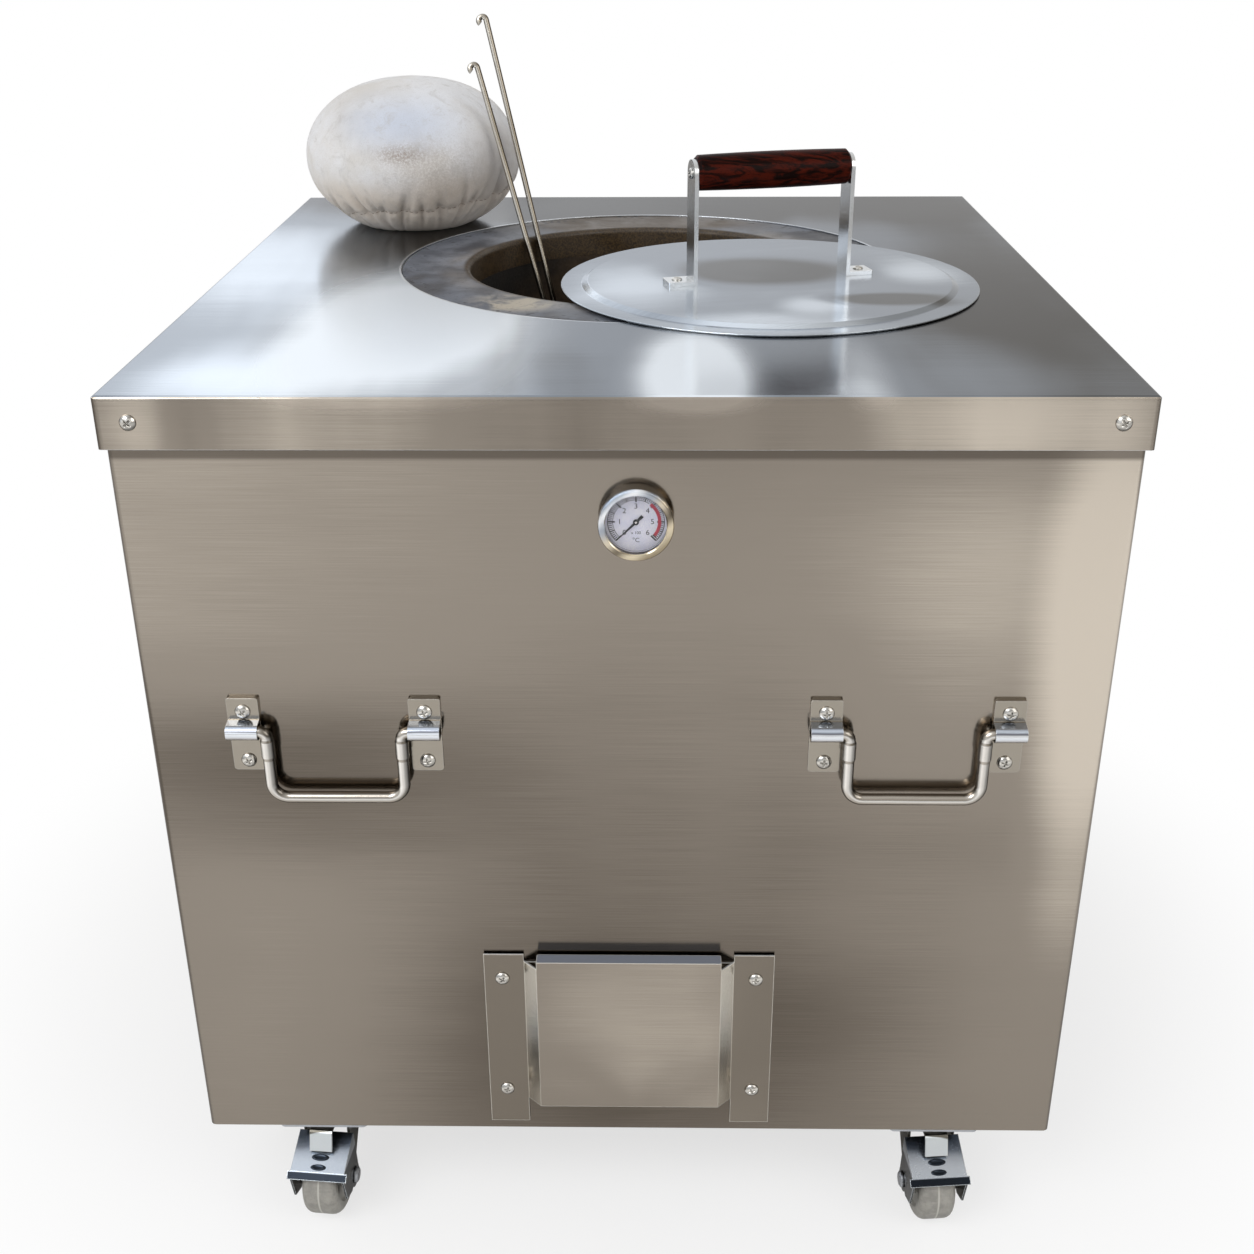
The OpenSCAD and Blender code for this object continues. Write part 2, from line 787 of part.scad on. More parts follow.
module thermometer_dial() {
    color([0.93, 0.92, 0.96]) at_gauge() translate([0, 0, dial_y]) difference() {
        cylinder(h = dial_t, r = case_r - case_wall - screw_gap);
        translate([0, 0, -cut]) cylinder(h = dial_t + 2 * cut, r = spindle_r + screw_gap);
    }
}

module thermometer_window() {
    color([0.85, 0.90, 0.92, 0.3]) at_gauge() translate([0, 0, window_y]) {
        cylinder(h = window_t, r = case_r - case_wall - screw_gap);
    }
}

// Probe and spindle in one turned piece
module thermometer_probe() {
    top = pointer_y + pointer_t + 0.8;
    color(bright_steel) at_gauge() rotate_extrude() polygon([
        [0, -probe_l], [probe_r - 2, -probe_l], [probe_r, -probe_l + 3], [probe_r, case_back_t],
        [spindle_r, case_back_t], [spindle_r, top], [0, top]
    ]);
}

module thermometer_nut() {
    nut_r = probe_r + 5;
    color(bright_steel) at_gauge() translate([0, 0, -shell_t - 5]) difference() {
        cylinder(h = 5, r = nut_r, $fn = 6);
        translate([0, 0, -cut]) cylinder(h = 5 + 2 * cut, r = probe_r + screw_gap);
    }
}

module thermometer_pointer() {
    tail = 0.4 * pointer_l;
    color([0.08, 0.08, 0.09]) at_gauge() mirror([0, 1, 0]) translate([0, 0, pointer_y]) difference() {
        rotate([0, 0, pointer_angle]) linear_extrude(pointer_t) {
            circle(2.4);
            polygon([[0, -1], [pointer_l, -0.3], [pointer_l, 0.3], [0, 1]]);
            polygon([[0, -0.8], [0, 0.8], [-tail, 1.3], [-tail, -1.3]]);
        }
        translate([0, 0, -cut]) cylinder(h = pointer_t + 2 * cut, r = spindle_r + turn_gap);
    }
}

// ---------------------------------------------------------------- handles

// Where a line from point p touches the circle of radius r about c
function touch(c, r, p, side) =
    let (d = p - c, a = atan2(d[1], d[0]) + side * acos(r / norm(d)))
    c + r * [cos(a), sin(a)];

// Drop shape: a circle about c and the straight runs back to an upper and a lower point,
// which cut a little into the circle so that they meet it at an angle
module drop_shape(c, r, upper, lower) {
    bite = 0.1;
    translate(c) circle(r);
    polygon([upper, touch(c, r - bite, upper, -1), touch(c, r - bite, lower, 1), lower]);
}

// One bracket: a plate with a strap over it that folds round the handle's rod
module bracket() {
    pivot = [pivot_out, 0];
    bore_r = bail_r + turn_gap;
    strap_r = bore_r + bracket_t;
    face = bracket_t;
    along_y(bracket_t) translate([0, (bracket_up - bracket_down) / 2]) {
        rounded_rect(bracket_w, bracket_up + bracket_down, bracket_round);
    }
    translate([0, face, 0]) along_y(bracket_t) {
        translate([0, (bracket_up + strap_z - bracket_t) / 2]) {
            rounded_rect(bracket_w, bracket_up - strap_z + bracket_t, 1.5);
        }
    }
    along_x(bracket_w) difference() {
        drop_shape(pivot, strap_r, [face, strap_z + 0.3], [face, -strap_r + 0.4]);
        drop_shape(pivot, bore_r, [face, strap_z - bracket_t - 0.5], [face, -bore_r + 0.9]);
    }
}

module handle_brackets(sx, sy) {
    hole_r = screw_r + screw_gap;
    color(bright_steel) on_wall(sy) difference() {
        translate([sx * handle_x, 0, handle_z]) {
            for (end = [-1, 1]) translate([end * bracket_spacing / 2, 0, 0]) bracket();
        }
        at_bracket_screws([0, 0]) wall_hole(hole_r);
    }
}

// Half of the handle, from the middle of its grip to the end of its rod
module handle_half() {
    leg_x = leg_spacing / 2;
    rod_end = (bracket_spacing + bracket_w) / 2 - 2;
    bend = min(bail_bend, bail_drop / 3);
    leg_l = bail_drop - bend - elbow_bend;
    translate([0, 0, -bail_drop]) axis_to_x() cylinder(h = leg_x - bend, r = bail_r);
    translate([leg_x - bend, 0, -bail_drop + bend]) rotate([90, 0, 0]) rotate([0, 0, -90]) {
        rotate_extrude(angle = 90) translate([bend, 0]) circle(bail_r);
    }
    translate([leg_x, 0, -elbow_bend - leg_l]) cylinder(h = leg_l, r = bail_r);
    translate([leg_x, 0, -elbow_bend - neck_l]) {
        cylinder(h = 3, r1 = bail_r, r2 = neck_r);
        translate([0, 0, 3]) cylinder(h = neck_l - 5, r = neck_r);
        translate([0, 0, neck_l - 2]) cylinder(h = 2, r1 = neck_r, r2 = bail_r);
    }
    translate([leg_x + elbow_bend, 0, -elbow_bend]) rotate([90, 0, 0]) rotate([0, 0, 90]) {
        rotate_extrude(angle = 90) translate([elbow_bend, 0]) circle(bail_r);
    }
    translate([leg_x + elbow_bend, 0, 0]) axis_to_x() cylinder(h = rod_end - leg_x - elbow_bend, r = bail_r);
}

module handle(sx, sy) {
    color(bright_steel) on_wall(sy) translate([sx * handle_x, pivot_out, handle_z]) {
        both_ends() handle_half();
    }
}

// ---------------------------------------------------------------- fasteners

module panel_screws() {
    color(bright_steel) {
        on_wall(-1) {
            at_skirt_screws() button_screw();
            at_bracket_screws([2 * bracket_t, bracket_t]) button_screw();
            translate([0, hood_flange_y, 0]) at_hood_screws() button_screw();
        }
        on_wall(1) {
            at_skirt_screws() button_screw();
            at_bracket_screws([2 * bracket_t, bracket_t]) button_screw();
            at_rear_screws() button_screw();
        }
    }
}

// Hexagon bolts up through the caster plates, with a nut inside
module caster_bolts() {
    head_z = caster_h - plate_t - bolt_head_h;
    nut_z = base_top + frame_t;
    color(bright_steel) for (sx = [-1, 1], sy = [-1, 1]) at_plate(sx, sy) at_caster_bolts() {
        translate([0, 0, head_z]) cylinder(h = bolt_head_h, r = bolt_head_r, $fn = 6);
        translate([0, 0, head_z]) cylinder(h = nut_z + nut_h + 2 - head_z, r = bolt_r);
        translate([0, 0, nut_z]) cylinder(h = nut_h, r = bolt_head_r, $fn = 6);
    }
}

// ---------------------------------------------------------------- casters

// Mounting plate with the upper race and the riveted kingpin
module caster_plate() {
    race_z = caster_h - plate_t - race_h;
    pin_z = crown_z0 - 4.5;
    color(bright_steel) {
        difference() {
            translate([0, 0, caster_h - plate_t]) linear_extrude(plate_t) rounded_rect(plate_w, plate_d, 5);
            at_caster_bolts() translate([0, 0, caster_h - plate_t - cut]) {
                cylinder(h = plate_t + 2 * cut, r = bolt_r + screw_gap);
            }
        }
        rotate_extrude() polygon([
            [0, caster_h - plate_t], [0, pin_z], [kingpin_r + 4, pin_z], [kingpin_r + 4, pin_z + 2],
            [kingpin_r + 2, crown_z0 - fit_gap], [kingpin_r, crown_z0 - fit_gap], [kingpin_r, race_z],
            [race_r - 5, race_z], [race_r - 1, race_z + 1], [race_r, caster_h - plate_t]
        ]);
    }
}

// Side view of a fork leg: wide under the crown, behind the pedal, then down to the axle
module fork_leg_outline() {
    rear = -race_r + 4;
    front = pedal_back[0] - 1.5;
    polygon([
        [rear, crown_z0 + cut], [front, crown_z0 + cut], [front, pedal_back[1] - 6],
        [trail + 6, axle_z + 26], [trail + boss_r, axle_z + 8], [trail + boss_r, axle_z],
        [trail - boss_r, axle_z], [rear + 2, crown_z0 - 16]
    ]);
    translate([trail, axle_z]) circle(boss_r);
}

module caster_fork() {
    leg_x = (fork_gap + fork_t) / 2;
    tab_w = 22;
    color(dark_steel) difference() {
        union() {
            translate([0, 0, crown_z0]) linear_extrude(fork_t) {
                circle(race_r);
                square([fork_gap + 2 * fork_t, 2 * race_r - 8], center = true);
            }
            for (side = [-1, 1]) translate([side * leg_x, 0, 0]) along_x(fork_t) fork_leg_outline();
            // lug that holds the pedal down, folded over the front of the crown
            along_x(tab_w) polygon([
                [race_r - 4, crown_z1], [race_r + 6.5, crown_z1], [race_r + 8, crown_z1 - 1.5],
                [race_r + 13.5, crown_z1 - lug_drop], [race_r + 11.5, crown_z1 - lug_drop - 0.4],
                [race_r + 6, crown_z1 - 2], [race_r - 4, crown_z1 - 2]
            ]);
        }
        translate([0, 0, crown_z0 - cut]) cylinder(h = fork_t + 2 * cut, r = kingpin_r + turn_gap);
        translate([-fork_gap, trail, axle_z]) axis_to_x() cylinder(h = 2 * fork_gap, r = axle_r + turn_gap);
    }
}

module caster_axle() {
    seat = pedal_w / 2 + 0.5;
    color(bright_steel) translate([0, trail, axle_z]) axis_to_x() rotate_extrude() polygon([
        [0, -seat - 3], [axle_r + 1, -seat - 3], [axle_r + 3, -seat - 1.5], [axle_r + 3, -seat], [axle_r, -seat],
        [axle_r, seat], [axle_r + 3, seat], [axle_r + 3, seat + 1.5], [axle_r + 1, seat + 3], [0, seat + 3]
    ]);
}

// Wheel with a rounded tread, a parting ridge and hub faces that reach the fork
module caster_wheel() {
    r = wheel_d / 2;
    half = wheel_w / 2;
    hub_r = 13;
    hub_x = fork_gap / 2 - fit_gap;
    recess = 3;
    arc_steps = 5;
    side = concat(
        [[axle_r + turn_gap, hub_x], [hub_r - 1, hub_x], [hub_r, hub_x - 1], [hub_r, half - recess]],
        [[r - tread_round - 5, half - recess], [r - tread_round - 3, half]],
        [for (i = [0 : arc_steps]) let (a = 90 - 90 * i / arc_steps) [
            r - tread_round + tread_round * cos(a), half - tread_round + tread_round * sin(a)
        ]],
        [[r, 0.8]]
    );
    last = len(side) - 1;
    color([0.52, 0.51, 0.49]) translate([0, trail, axle_z]) axis_to_x() rotate_extrude() polygon(concat(
        side, [for (i = [0 : last]) [side[last - i][0], -side[last - i][1]]]
    ));
}

// Side view points of the pedal, as depth and height
pedal_back = [18, axle_z + 48];
pedal_front = [trail + 33, axle_z + 32];
pedal_lip = [trail + 38.5, axle_z + 26.5];
pedal_ear = [trail + 30, axle_z - 2];

// Pressed brake pedal that turns on the axle, outside the fork
module brake_pedal() {
    wall_x = (pedal_gap + pedal_t) / 2;
    color([0.60, 0.62, 0.66]) difference() {
        union() {
            along_x(pedal_w) polygon([
                pedal_back, pedal_front, pedal_front - [1.6, pedal_t], pedal_back - [0.4, pedal_t]
            ]);
            along_x(lip_w) polygon([
                pedal_front, pedal_lip, pedal_lip - [pedal_t, 0.6], pedal_front - [2.4, pedal_t]
            ]);
            for (side = [-1, 1]) translate([side * wall_x, 0, 0]) along_x(pedal_t) {
                polygon([
                    pedal_back, pedal_front, pedal_lip - [1, 0], pedal_ear, [trail + 14, axle_z - 8],
                    [trail, axle_z], [trail - boss_r + 1, axle_z + 6]
                ]);
                translate([trail, axle_z]) circle(boss_r);
            }
        }
        translate([-fork_gap, trail, axle_z]) axis_to_x() cylinder(h = 2 * fork_gap, r = axle_r + turn_gap);
    }
}

// ---------------------------------------------------------------- lid

// Puts shapes drawn about the lid's middle on the top pan
module at_lid() {
    translate([lid_x, lid_y, 0]) rotate([0, 0, lid_turn]) children();
}

module at_foot_screws() {
    both_ends() translate([grip_l / 2 + strap_t + (strap_foot - strap_t) / 2 + 1, 0, 0]) children();
}

module lid_disc() {
    rim_in = lid_r - lid_rim;
    flat_r = rim_in - 2 * lid_step;
    color(steel) at_lid() translate([0, 0, lid_z]) difference() {
        rotate_extrude() polygon([
            [0, lid_step], [flat_r, lid_step], [rim_in, 0], [lid_r - 0.5, 0], [lid_r, 0.5], [lid_r, lid_t - 0.5],
            [lid_r - 0.5, lid_t], [rim_in, lid_t], [flat_r, lid_step + lid_t], [0, lid_step + lid_t]
        ]);
        at_foot_screws() translate([0, 0, -cut]) {
            cylinder(h = lid_step + lid_t + 2 * cut, r = lid_screw_r + screw_gap);
        }
    }
}

// Flat bar with a rounded top for the grip's screw and a foot that points outwards
module lid_upright() {
    x = grip_l / 2;
    color(bright_steel) difference() {
        union() {
            translate([x + strap_t / 2, 0, 0]) along_x(strap_t) {
                translate([-strap_w / 2, lid_top]) square([strap_w, grip_z - lid_top]);
                translate([0, grip_z]) circle(strap_w / 2);
            }
            translate([x + strap_foot / 2, 0, lid_top]) linear_extrude(strap_t) {
                rounded_rect(strap_foot, strap_w, 1.5);
            }
        }
        translate([x - cut, 0, grip_z]) axis_to_x() cylinder(h = strap_t + 2 * cut, r = lid_screw_r + screw_gap);
        at_foot_screws() translate([0, 0, lid_top - cut]) {
            cylinder(h = strap_t + 2 * cut, r = lid_screw_r + screw_gap);
        }
    }
}

// Turned wooden grip, fuller in the middle
module lid_grip() {
    half = grip_l / 2;
    steps = 8;
    bore_l = 26;
    function barrel(t) = grip_r - 0.9 * pow(t, 2);
    color([0.28, 0.09, 0.05]) at_lid() translate([0, 0, grip_z]) difference() {
        axis_to_x() rotate_extrude() polygon(concat(
            [[0, -half], [barrel(1) - 2.5, -half]],
            [for (i = [-steps / 2 : steps / 2]) let (t = 2 * i / steps) [barrel(t), t * (half - 2.5)]],
            [[barrel(1) - 2.5, half], [0, half]]
        ));
        both_ends() translate([half - bore_l, 0, 0]) axis_to_x() {
            cylinder(h = bore_l + cut, r = lid_screw_r + screw_gap);
        }
    }
}

// Round-head screw pointing down, its seat at z = 0
module lid_screw(l) {
    rotate_extrude() polygon([
        [0, -l], [lid_screw_r, -l], [lid_screw_r, 0], [lid_head_r, 0], [0.85 * lid_head_r, 0.6 * lid_head_h],
        [0.5 * lid_head_r, lid_head_h], [0, lid_head_h]
    ]);
}

module lid_screws() {
    color(bright_steel) at_lid() {
        at_foot_screws() translate([0, 0, lid_top + strap_t]) lid_screw(strap_t + lid_t);
        both_ends() translate([grip_l / 2 + strap_t, 0, grip_z]) axis_to_x() lid_screw(24);
    }
}

// ---------------------------------------------------------------- skewers

// Point of the skewer's axis beside the mouth's edge, a clearance inside it
function rim_point(angle, lean) =
    let (r = mouth_r - (skewer_r + fit_gap) / cos(lean))
    [mouth_x + r * cos(angle), mouth_y + r * sin(angle), collar_z1];

function foot_point(foot) = [foot[0], foot[1], slab_z1 + fit_gap];

// Angle between the run from p to q and the vertical
function lean_of(p, q) = let (d = q - p) acos(d[2] / norm(d));

// Rod that leans from the pot's floor on the mouth's edge, with a curl at its top
module skewer(l, rim_angle, foot) {
    low = foot_point(foot);
    lean = lean_of(low, rim_point(rim_angle, 0));
    run = rim_point(rim_angle, lean) - low;
    core_r = skewer_r / 2; // joins the rod to its curl
    color(bright_steel) translate(low) rotate([0, acos(run[2] / norm(run)), atan2(run[1], run[0])]) {
        rotate_extrude() polygon([
            [0, 0], [0.5, 0], [skewer_r, skewer_tip], [skewer_r, l], [core_r, l], [core_r, l + 0.5], [0, l + 0.5]
        ]);
        rotate([0, 0, curl_turn]) translate([-curl_r, 0, l]) rotate([90, 0, 0]) {
            rotate_extrude(angle = curl_angle) translate([curl_r, 0]) circle(skewer_r);
        }
    }
}

// ---------------------------------------------------------------- bread cushion

// Point of the cushion's skin: a dome over a seam, drawn in by pleats, and a flat foot
function cushion_point(i, j) =
    let (
        up = -90 + 180 * i / cushion_rings,
        round = 360 * j / cushion_sides,
        near_seam = exp(-pow((up - seam_angle) / 9, 2)),
        pleats = exp(-pow((up - seam_angle) / 34, 2)) * cos(cushion_pleats * round),
        radius = cushion_r * pow(cos(up), 0.86) - seam_depth * near_seam - pleat_depth * pleats * cos(up),
        half = (cushion_h + cushion_flat) / 2
    )
    [radius * cos(round), radius * sin(round), max(half * (1 + sin(up)) - cushion_flat, 0)];

module bread_cushion() {
    n = cushion_sides;
    rings = [for (i = [1 : cushion_rings - 1], j = [0 : n - 1]) cushion_point(i, j)];
    foot = len(rings);
    crown = foot + 1;
    last = (cushion_rings - 2) * n;
    walls = [for (i = [0 : cushion_rings - 3], j = [0 : n - 1], half = [0, 1])
        let (a = i * n + j, b = i * n + (j + 1) % n)
        half == 0 ? [a, a + n, b + n] : [a, b + n, b]
    ];
    ends = [for (j = [0 : n - 1], top = [0, 1])
        let (k = (j + 1) % n)
        top == 0 ? [foot, j, k] : [crown, last + k, last + j]
    ];
    color([0.83, 0.79, 0.74]) translate([cushion_x, cushion_y, top_h + fit_gap]) polyhedron(
        points = concat(rings, [[0, 0, 0], [0, 0, cushion_h]]),
        faces = concat(walls, ends)
    );
}

// ---------------------------------------------------------------- assembly

outer_shell();
rear_panel();
top_pan();
base_plate();
base_frame();
insulation();
clay_pot();
pot_slab();
rim_collar();
vent_duct();
vent_hood();
hood_spacers();
vent_damper();
thermometer_case();
thermometer_dial();
thermometer_window();
thermometer_probe();
thermometer_nut();
thermometer_pointer();
handle_brackets(-1, -1);  // handle_brackets_front_left
handle_brackets(1, -1);  // handle_brackets_front_right
handle_brackets(-1, 1);  // handle_brackets_rear_left
handle_brackets(1, 1);  // handle_brackets_rear_right
handle(-1, -1);  // handle_front_left
handle(1, -1);  // handle_front_right
handle(-1, 1);  // handle_rear_left
handle(1, 1);  // handle_rear_right
panel_screws();
caster_bolts();
at_plate(-1, -1) caster_plate();  // caster_plate_front_left
at_plate(1, -1) caster_plate();  // caster_plate_front_right
at_plate(-1, 1) caster_plate();  // caster_plate_rear_left
at_plate(1, 1) caster_plate();  // caster_plate_rear_right
at_caster(-1, -1) caster_fork();  // caster_fork_front_left
at_caster(1, -1) caster_fork();  // caster_fork_front_right
at_caster(-1, 1) caster_fork();  // caster_fork_rear_left
at_caster(1, 1) caster_fork();  // caster_fork_rear_right
at_caster(-1, -1) caster_axle();  // caster_axle_front_left
at_caster(1, -1) caster_axle();  // caster_axle_front_right
at_caster(-1, 1) caster_axle();  // caster_axle_rear_left
at_caster(1, 1) caster_axle();  // caster_axle_rear_right
at_caster(-1, -1) caster_wheel();  // caster_wheel_front_left
at_caster(1, -1) caster_wheel();  // caster_wheel_front_right
at_caster(-1, 1) caster_wheel();  // caster_wheel_rear_left
at_caster(1, 1) caster_wheel();  // caster_wheel_rear_right
at_caster(-1, -1) brake_pedal();  // brake_pedal_front_left
at_caster(1, -1) brake_pedal();  // brake_pedal_front_right
at_caster(-1, 1) brake_pedal();  // brake_pedal_rear_left
at_caster(1, 1) brake_pedal();  // brake_pedal_rear_right
lid_disc();
at_lid() mirror([1, 0, 0]) lid_upright();  // lid_upright_left
at_lid() lid_upright();  // lid_upright_right
lid_grip();
lid_screws();
skewer(skewer_a_l, skewer_a_rim, skewer_a_foot);  // skewer_a
skewer(skewer_b_l, skewer_b_rim, skewer_b_foot);  // skewer_b
bread_cushion();
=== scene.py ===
import math

import bmesh
import bpy
import numpy as np
from mathutils import Matrix, Vector


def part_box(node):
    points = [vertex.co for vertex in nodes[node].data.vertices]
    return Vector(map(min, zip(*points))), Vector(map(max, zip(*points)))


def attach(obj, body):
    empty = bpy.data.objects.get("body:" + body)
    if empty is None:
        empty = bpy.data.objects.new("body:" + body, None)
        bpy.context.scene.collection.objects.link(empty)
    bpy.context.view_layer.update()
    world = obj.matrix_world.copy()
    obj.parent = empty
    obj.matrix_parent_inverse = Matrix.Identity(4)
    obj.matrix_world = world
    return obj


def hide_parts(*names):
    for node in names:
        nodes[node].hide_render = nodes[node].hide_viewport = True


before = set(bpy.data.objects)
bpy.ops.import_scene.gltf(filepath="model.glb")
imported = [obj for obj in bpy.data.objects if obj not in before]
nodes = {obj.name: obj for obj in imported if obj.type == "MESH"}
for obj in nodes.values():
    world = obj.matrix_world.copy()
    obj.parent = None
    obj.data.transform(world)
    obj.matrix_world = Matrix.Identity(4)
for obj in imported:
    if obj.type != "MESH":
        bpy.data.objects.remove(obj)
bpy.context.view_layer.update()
CORNERS = ["front_left", "front_right", "rear_left", "rear_right"]
MM = 0.001


# ---------------------------------------------------------------- materials


def rgb(r, g, b):
    """A colour given as 0-255 display values, as linear RGBA."""
    out = []
    for v in (r / 255, g / 255, b / 255):
        out.append(v / 12.92 if v <= 0.04045 else ((v + 0.055) / 1.055) ** 2.4)
    return (*out, 1.0)


class Tree:
    """A node tree, built by short calls. Sockets and plain values both fit every input."""

    def __init__(self, tree):
        self.tree = tree
        tree.nodes.clear()

    def node(self, kind, **attributes):
        n = self.tree.nodes.new("ShaderNode" + kind)
        for key, value in attributes.items():
            setattr(n, key, value)
        return n

    def plug(self, socket, value):
        if isinstance(value, bpy.types.NodeSocket):
            self.tree.links.new(value, socket)
        else:
            socket.default_value = value

    def made(self, kind, inputs, output=0, **attributes):
        """One output of a new node, whose inputs are given by name or number."""
        n = self.node(kind, **attributes)
        for key, value in inputs.items():
            self.plug(n.inputs[key], value)
        return n.outputs[output]

    def span(self, value, low, high, to_low=0.0, to_high=1.0):
        """Maps value's range low..high to to_low..to_high, clamped and smooth."""
        inputs = dict(enumerate((value, low, high, to_low, to_high)))
        return self.made("MapRange", inputs, interpolation_type="SMOOTHSTEP")

    def calc(self, operation, a, b=0.0):
        return self.made("Math", {0: a, 1: b}, operation=operation)

    def plus(self, a, b):
        return self.calc("ADD", a, b)

    def minus(self, a, b):
        return self.calc("SUBTRACT", a, b)

    def times(self, a, b):
        return self.calc("MULTIPLY", a, b)

    def swing(self, noise, amount):
        """A noise about its middle value, scaled by amount."""
        return self.times(self.minus(noise, 0.5), amount)

    def mix(self, share, a, b, blend="MIX"):
        return self.made("Mix", {"Factor": share, 6: a, 7: b}, 2, data_type="RGBA", blend_type=blend)

    def split(self, vector):
        n = self.node("SeparateXYZ")
        self.plug(n.inputs[0], vector)
        return n.outputs

    def join(self, x, y, z):
        return self.made("CombineXYZ", {0: x, 1: y, 2: z})


class Graph(Tree):
    """A material with one main shader."""

    def __init__(self, name, **settings):
        self.material = bpy.data.materials.new(name)
        self.material.use_nodes = True
        super().__init__(self.material.node_tree)
        self.bsdf = self.node("BsdfPrincipled")
        self.out = self.node("OutputMaterial")
        self.plug(self.out.inputs["Surface"], self.bsdf.outputs[0])
        self.place = self.node("TexCoord").outputs["Object"]
        for socket, value in settings.items():
            self.set(socket.replace("_", " "), value)

    def set(self, socket, value):
        self.plug(self.bsdf.inputs[socket], value)

    def finish(self, colour, roughness, normal=None):
        self.set("Base Color", colour)
        self.set("Roughness", roughness)
        if normal is not None:
            self.set("Normal", normal)
        return self.material

    def mapped(self, scale, turn=(0, 0, 0), move=(0, 0, 0)):
        size = scale if isinstance(scale, tuple) else (scale,) * 3
        angles = [math.radians(v) for v in turn]
        return self.made("Mapping", {"Vector": self.place, "Scale": size, "Rotation": angles, "Location": move})

    def noise(self, scale, detail=3.0, rough=0.5, bend=0.0, **mapping):
        """Noise over the object's own coordinates at a scale, or over a vector given in its place."""
        vector = scale if isinstance(scale, bpy.types.NodeSocket) else self.mapped(scale, **mapping)
        inputs = {"Vector": vector, "Scale": 1.0, "Detail": detail, "Roughness": rough, "Distortion": bend}
        return self.made("TexNoise", inputs, "Fac")

    def cells(self, vector):
        return self.made("TexVoronoi", {"Vector": vector, "Scale": 1.0}, "Distance")

    def bump(self, height, distance, strength=1.0, under=None):
        inputs = {"Height": height, "Distance": distance, "Strength": strength}
        if under is not None:
            inputs["Normal"] = under
        return self.made("Bump", inputs)

    def facing(self):
        """Components of the way that the surface faces."""
        return self.split(self.node("TexCoord").outputs["Normal"])

    def facets(self):
        """Components of the way that each flat face looks, before any smoothing."""
        return self.split(self.node("NewGeometry").outputs["True Normal"])

    def soft_edges(self, radius, samples=4):
        return self.made("Bevel", {"Radius": radius}, samples=samples)

    def edges(self, radius):
        """1 along the corners of a form and 0 on its flats."""
        inputs = {0: self.soft_edges(radius, 8), 1: self.node("NewGeometry").outputs["Normal"]}
        return self.span(self.made("VectorMath", inputs, "Value", operation="DOT_PRODUCT"), 0.985, 0.90)

    def size_of(self, value):
        """The vector with each part made positive, so that one pattern serves all four corners."""
        return self.made("VectorMath", {0: value}, operation="ABSOLUTE")

    def length(self, value):
        return self.made("VectorMath", {0: value}, "Value", operation="LENGTH")

    def blobs(self, *patches):
        """Sum of soft ellipsoidal patches, each given as a centre, radii and a strength."""
        total = 0.0
        for centre, radii, amount in patches:
            move = [-c / r for c, r in zip(centre, radii)]
            away = self.length(self.mapped(tuple(1 / r for r in radii), move=move))
            total = self.plus(total, self.span(away, 1.0, 0.0, 0.0, amount))
        return total

    def ramp(self, value, *stops):
        """Colour along value, through stops of (value, colour)."""
        colour = stops[0][1]
        for (low, _), (high, tone) in zip(stops, stops[1:]):
            colour = self.mix(self.span(value, low, high), colour, tone)
        return colour

    def radius(self, centre):
        """Distance from an upright axis through centre."""
        x, y, _ = self.split(self.place)
        dx, dy = self.minus(x, centre[0]), self.minus(y, centre[1])
        return self.calc("SQRT", self.plus(self.times(dx, dx), self.times(dy, dy)))


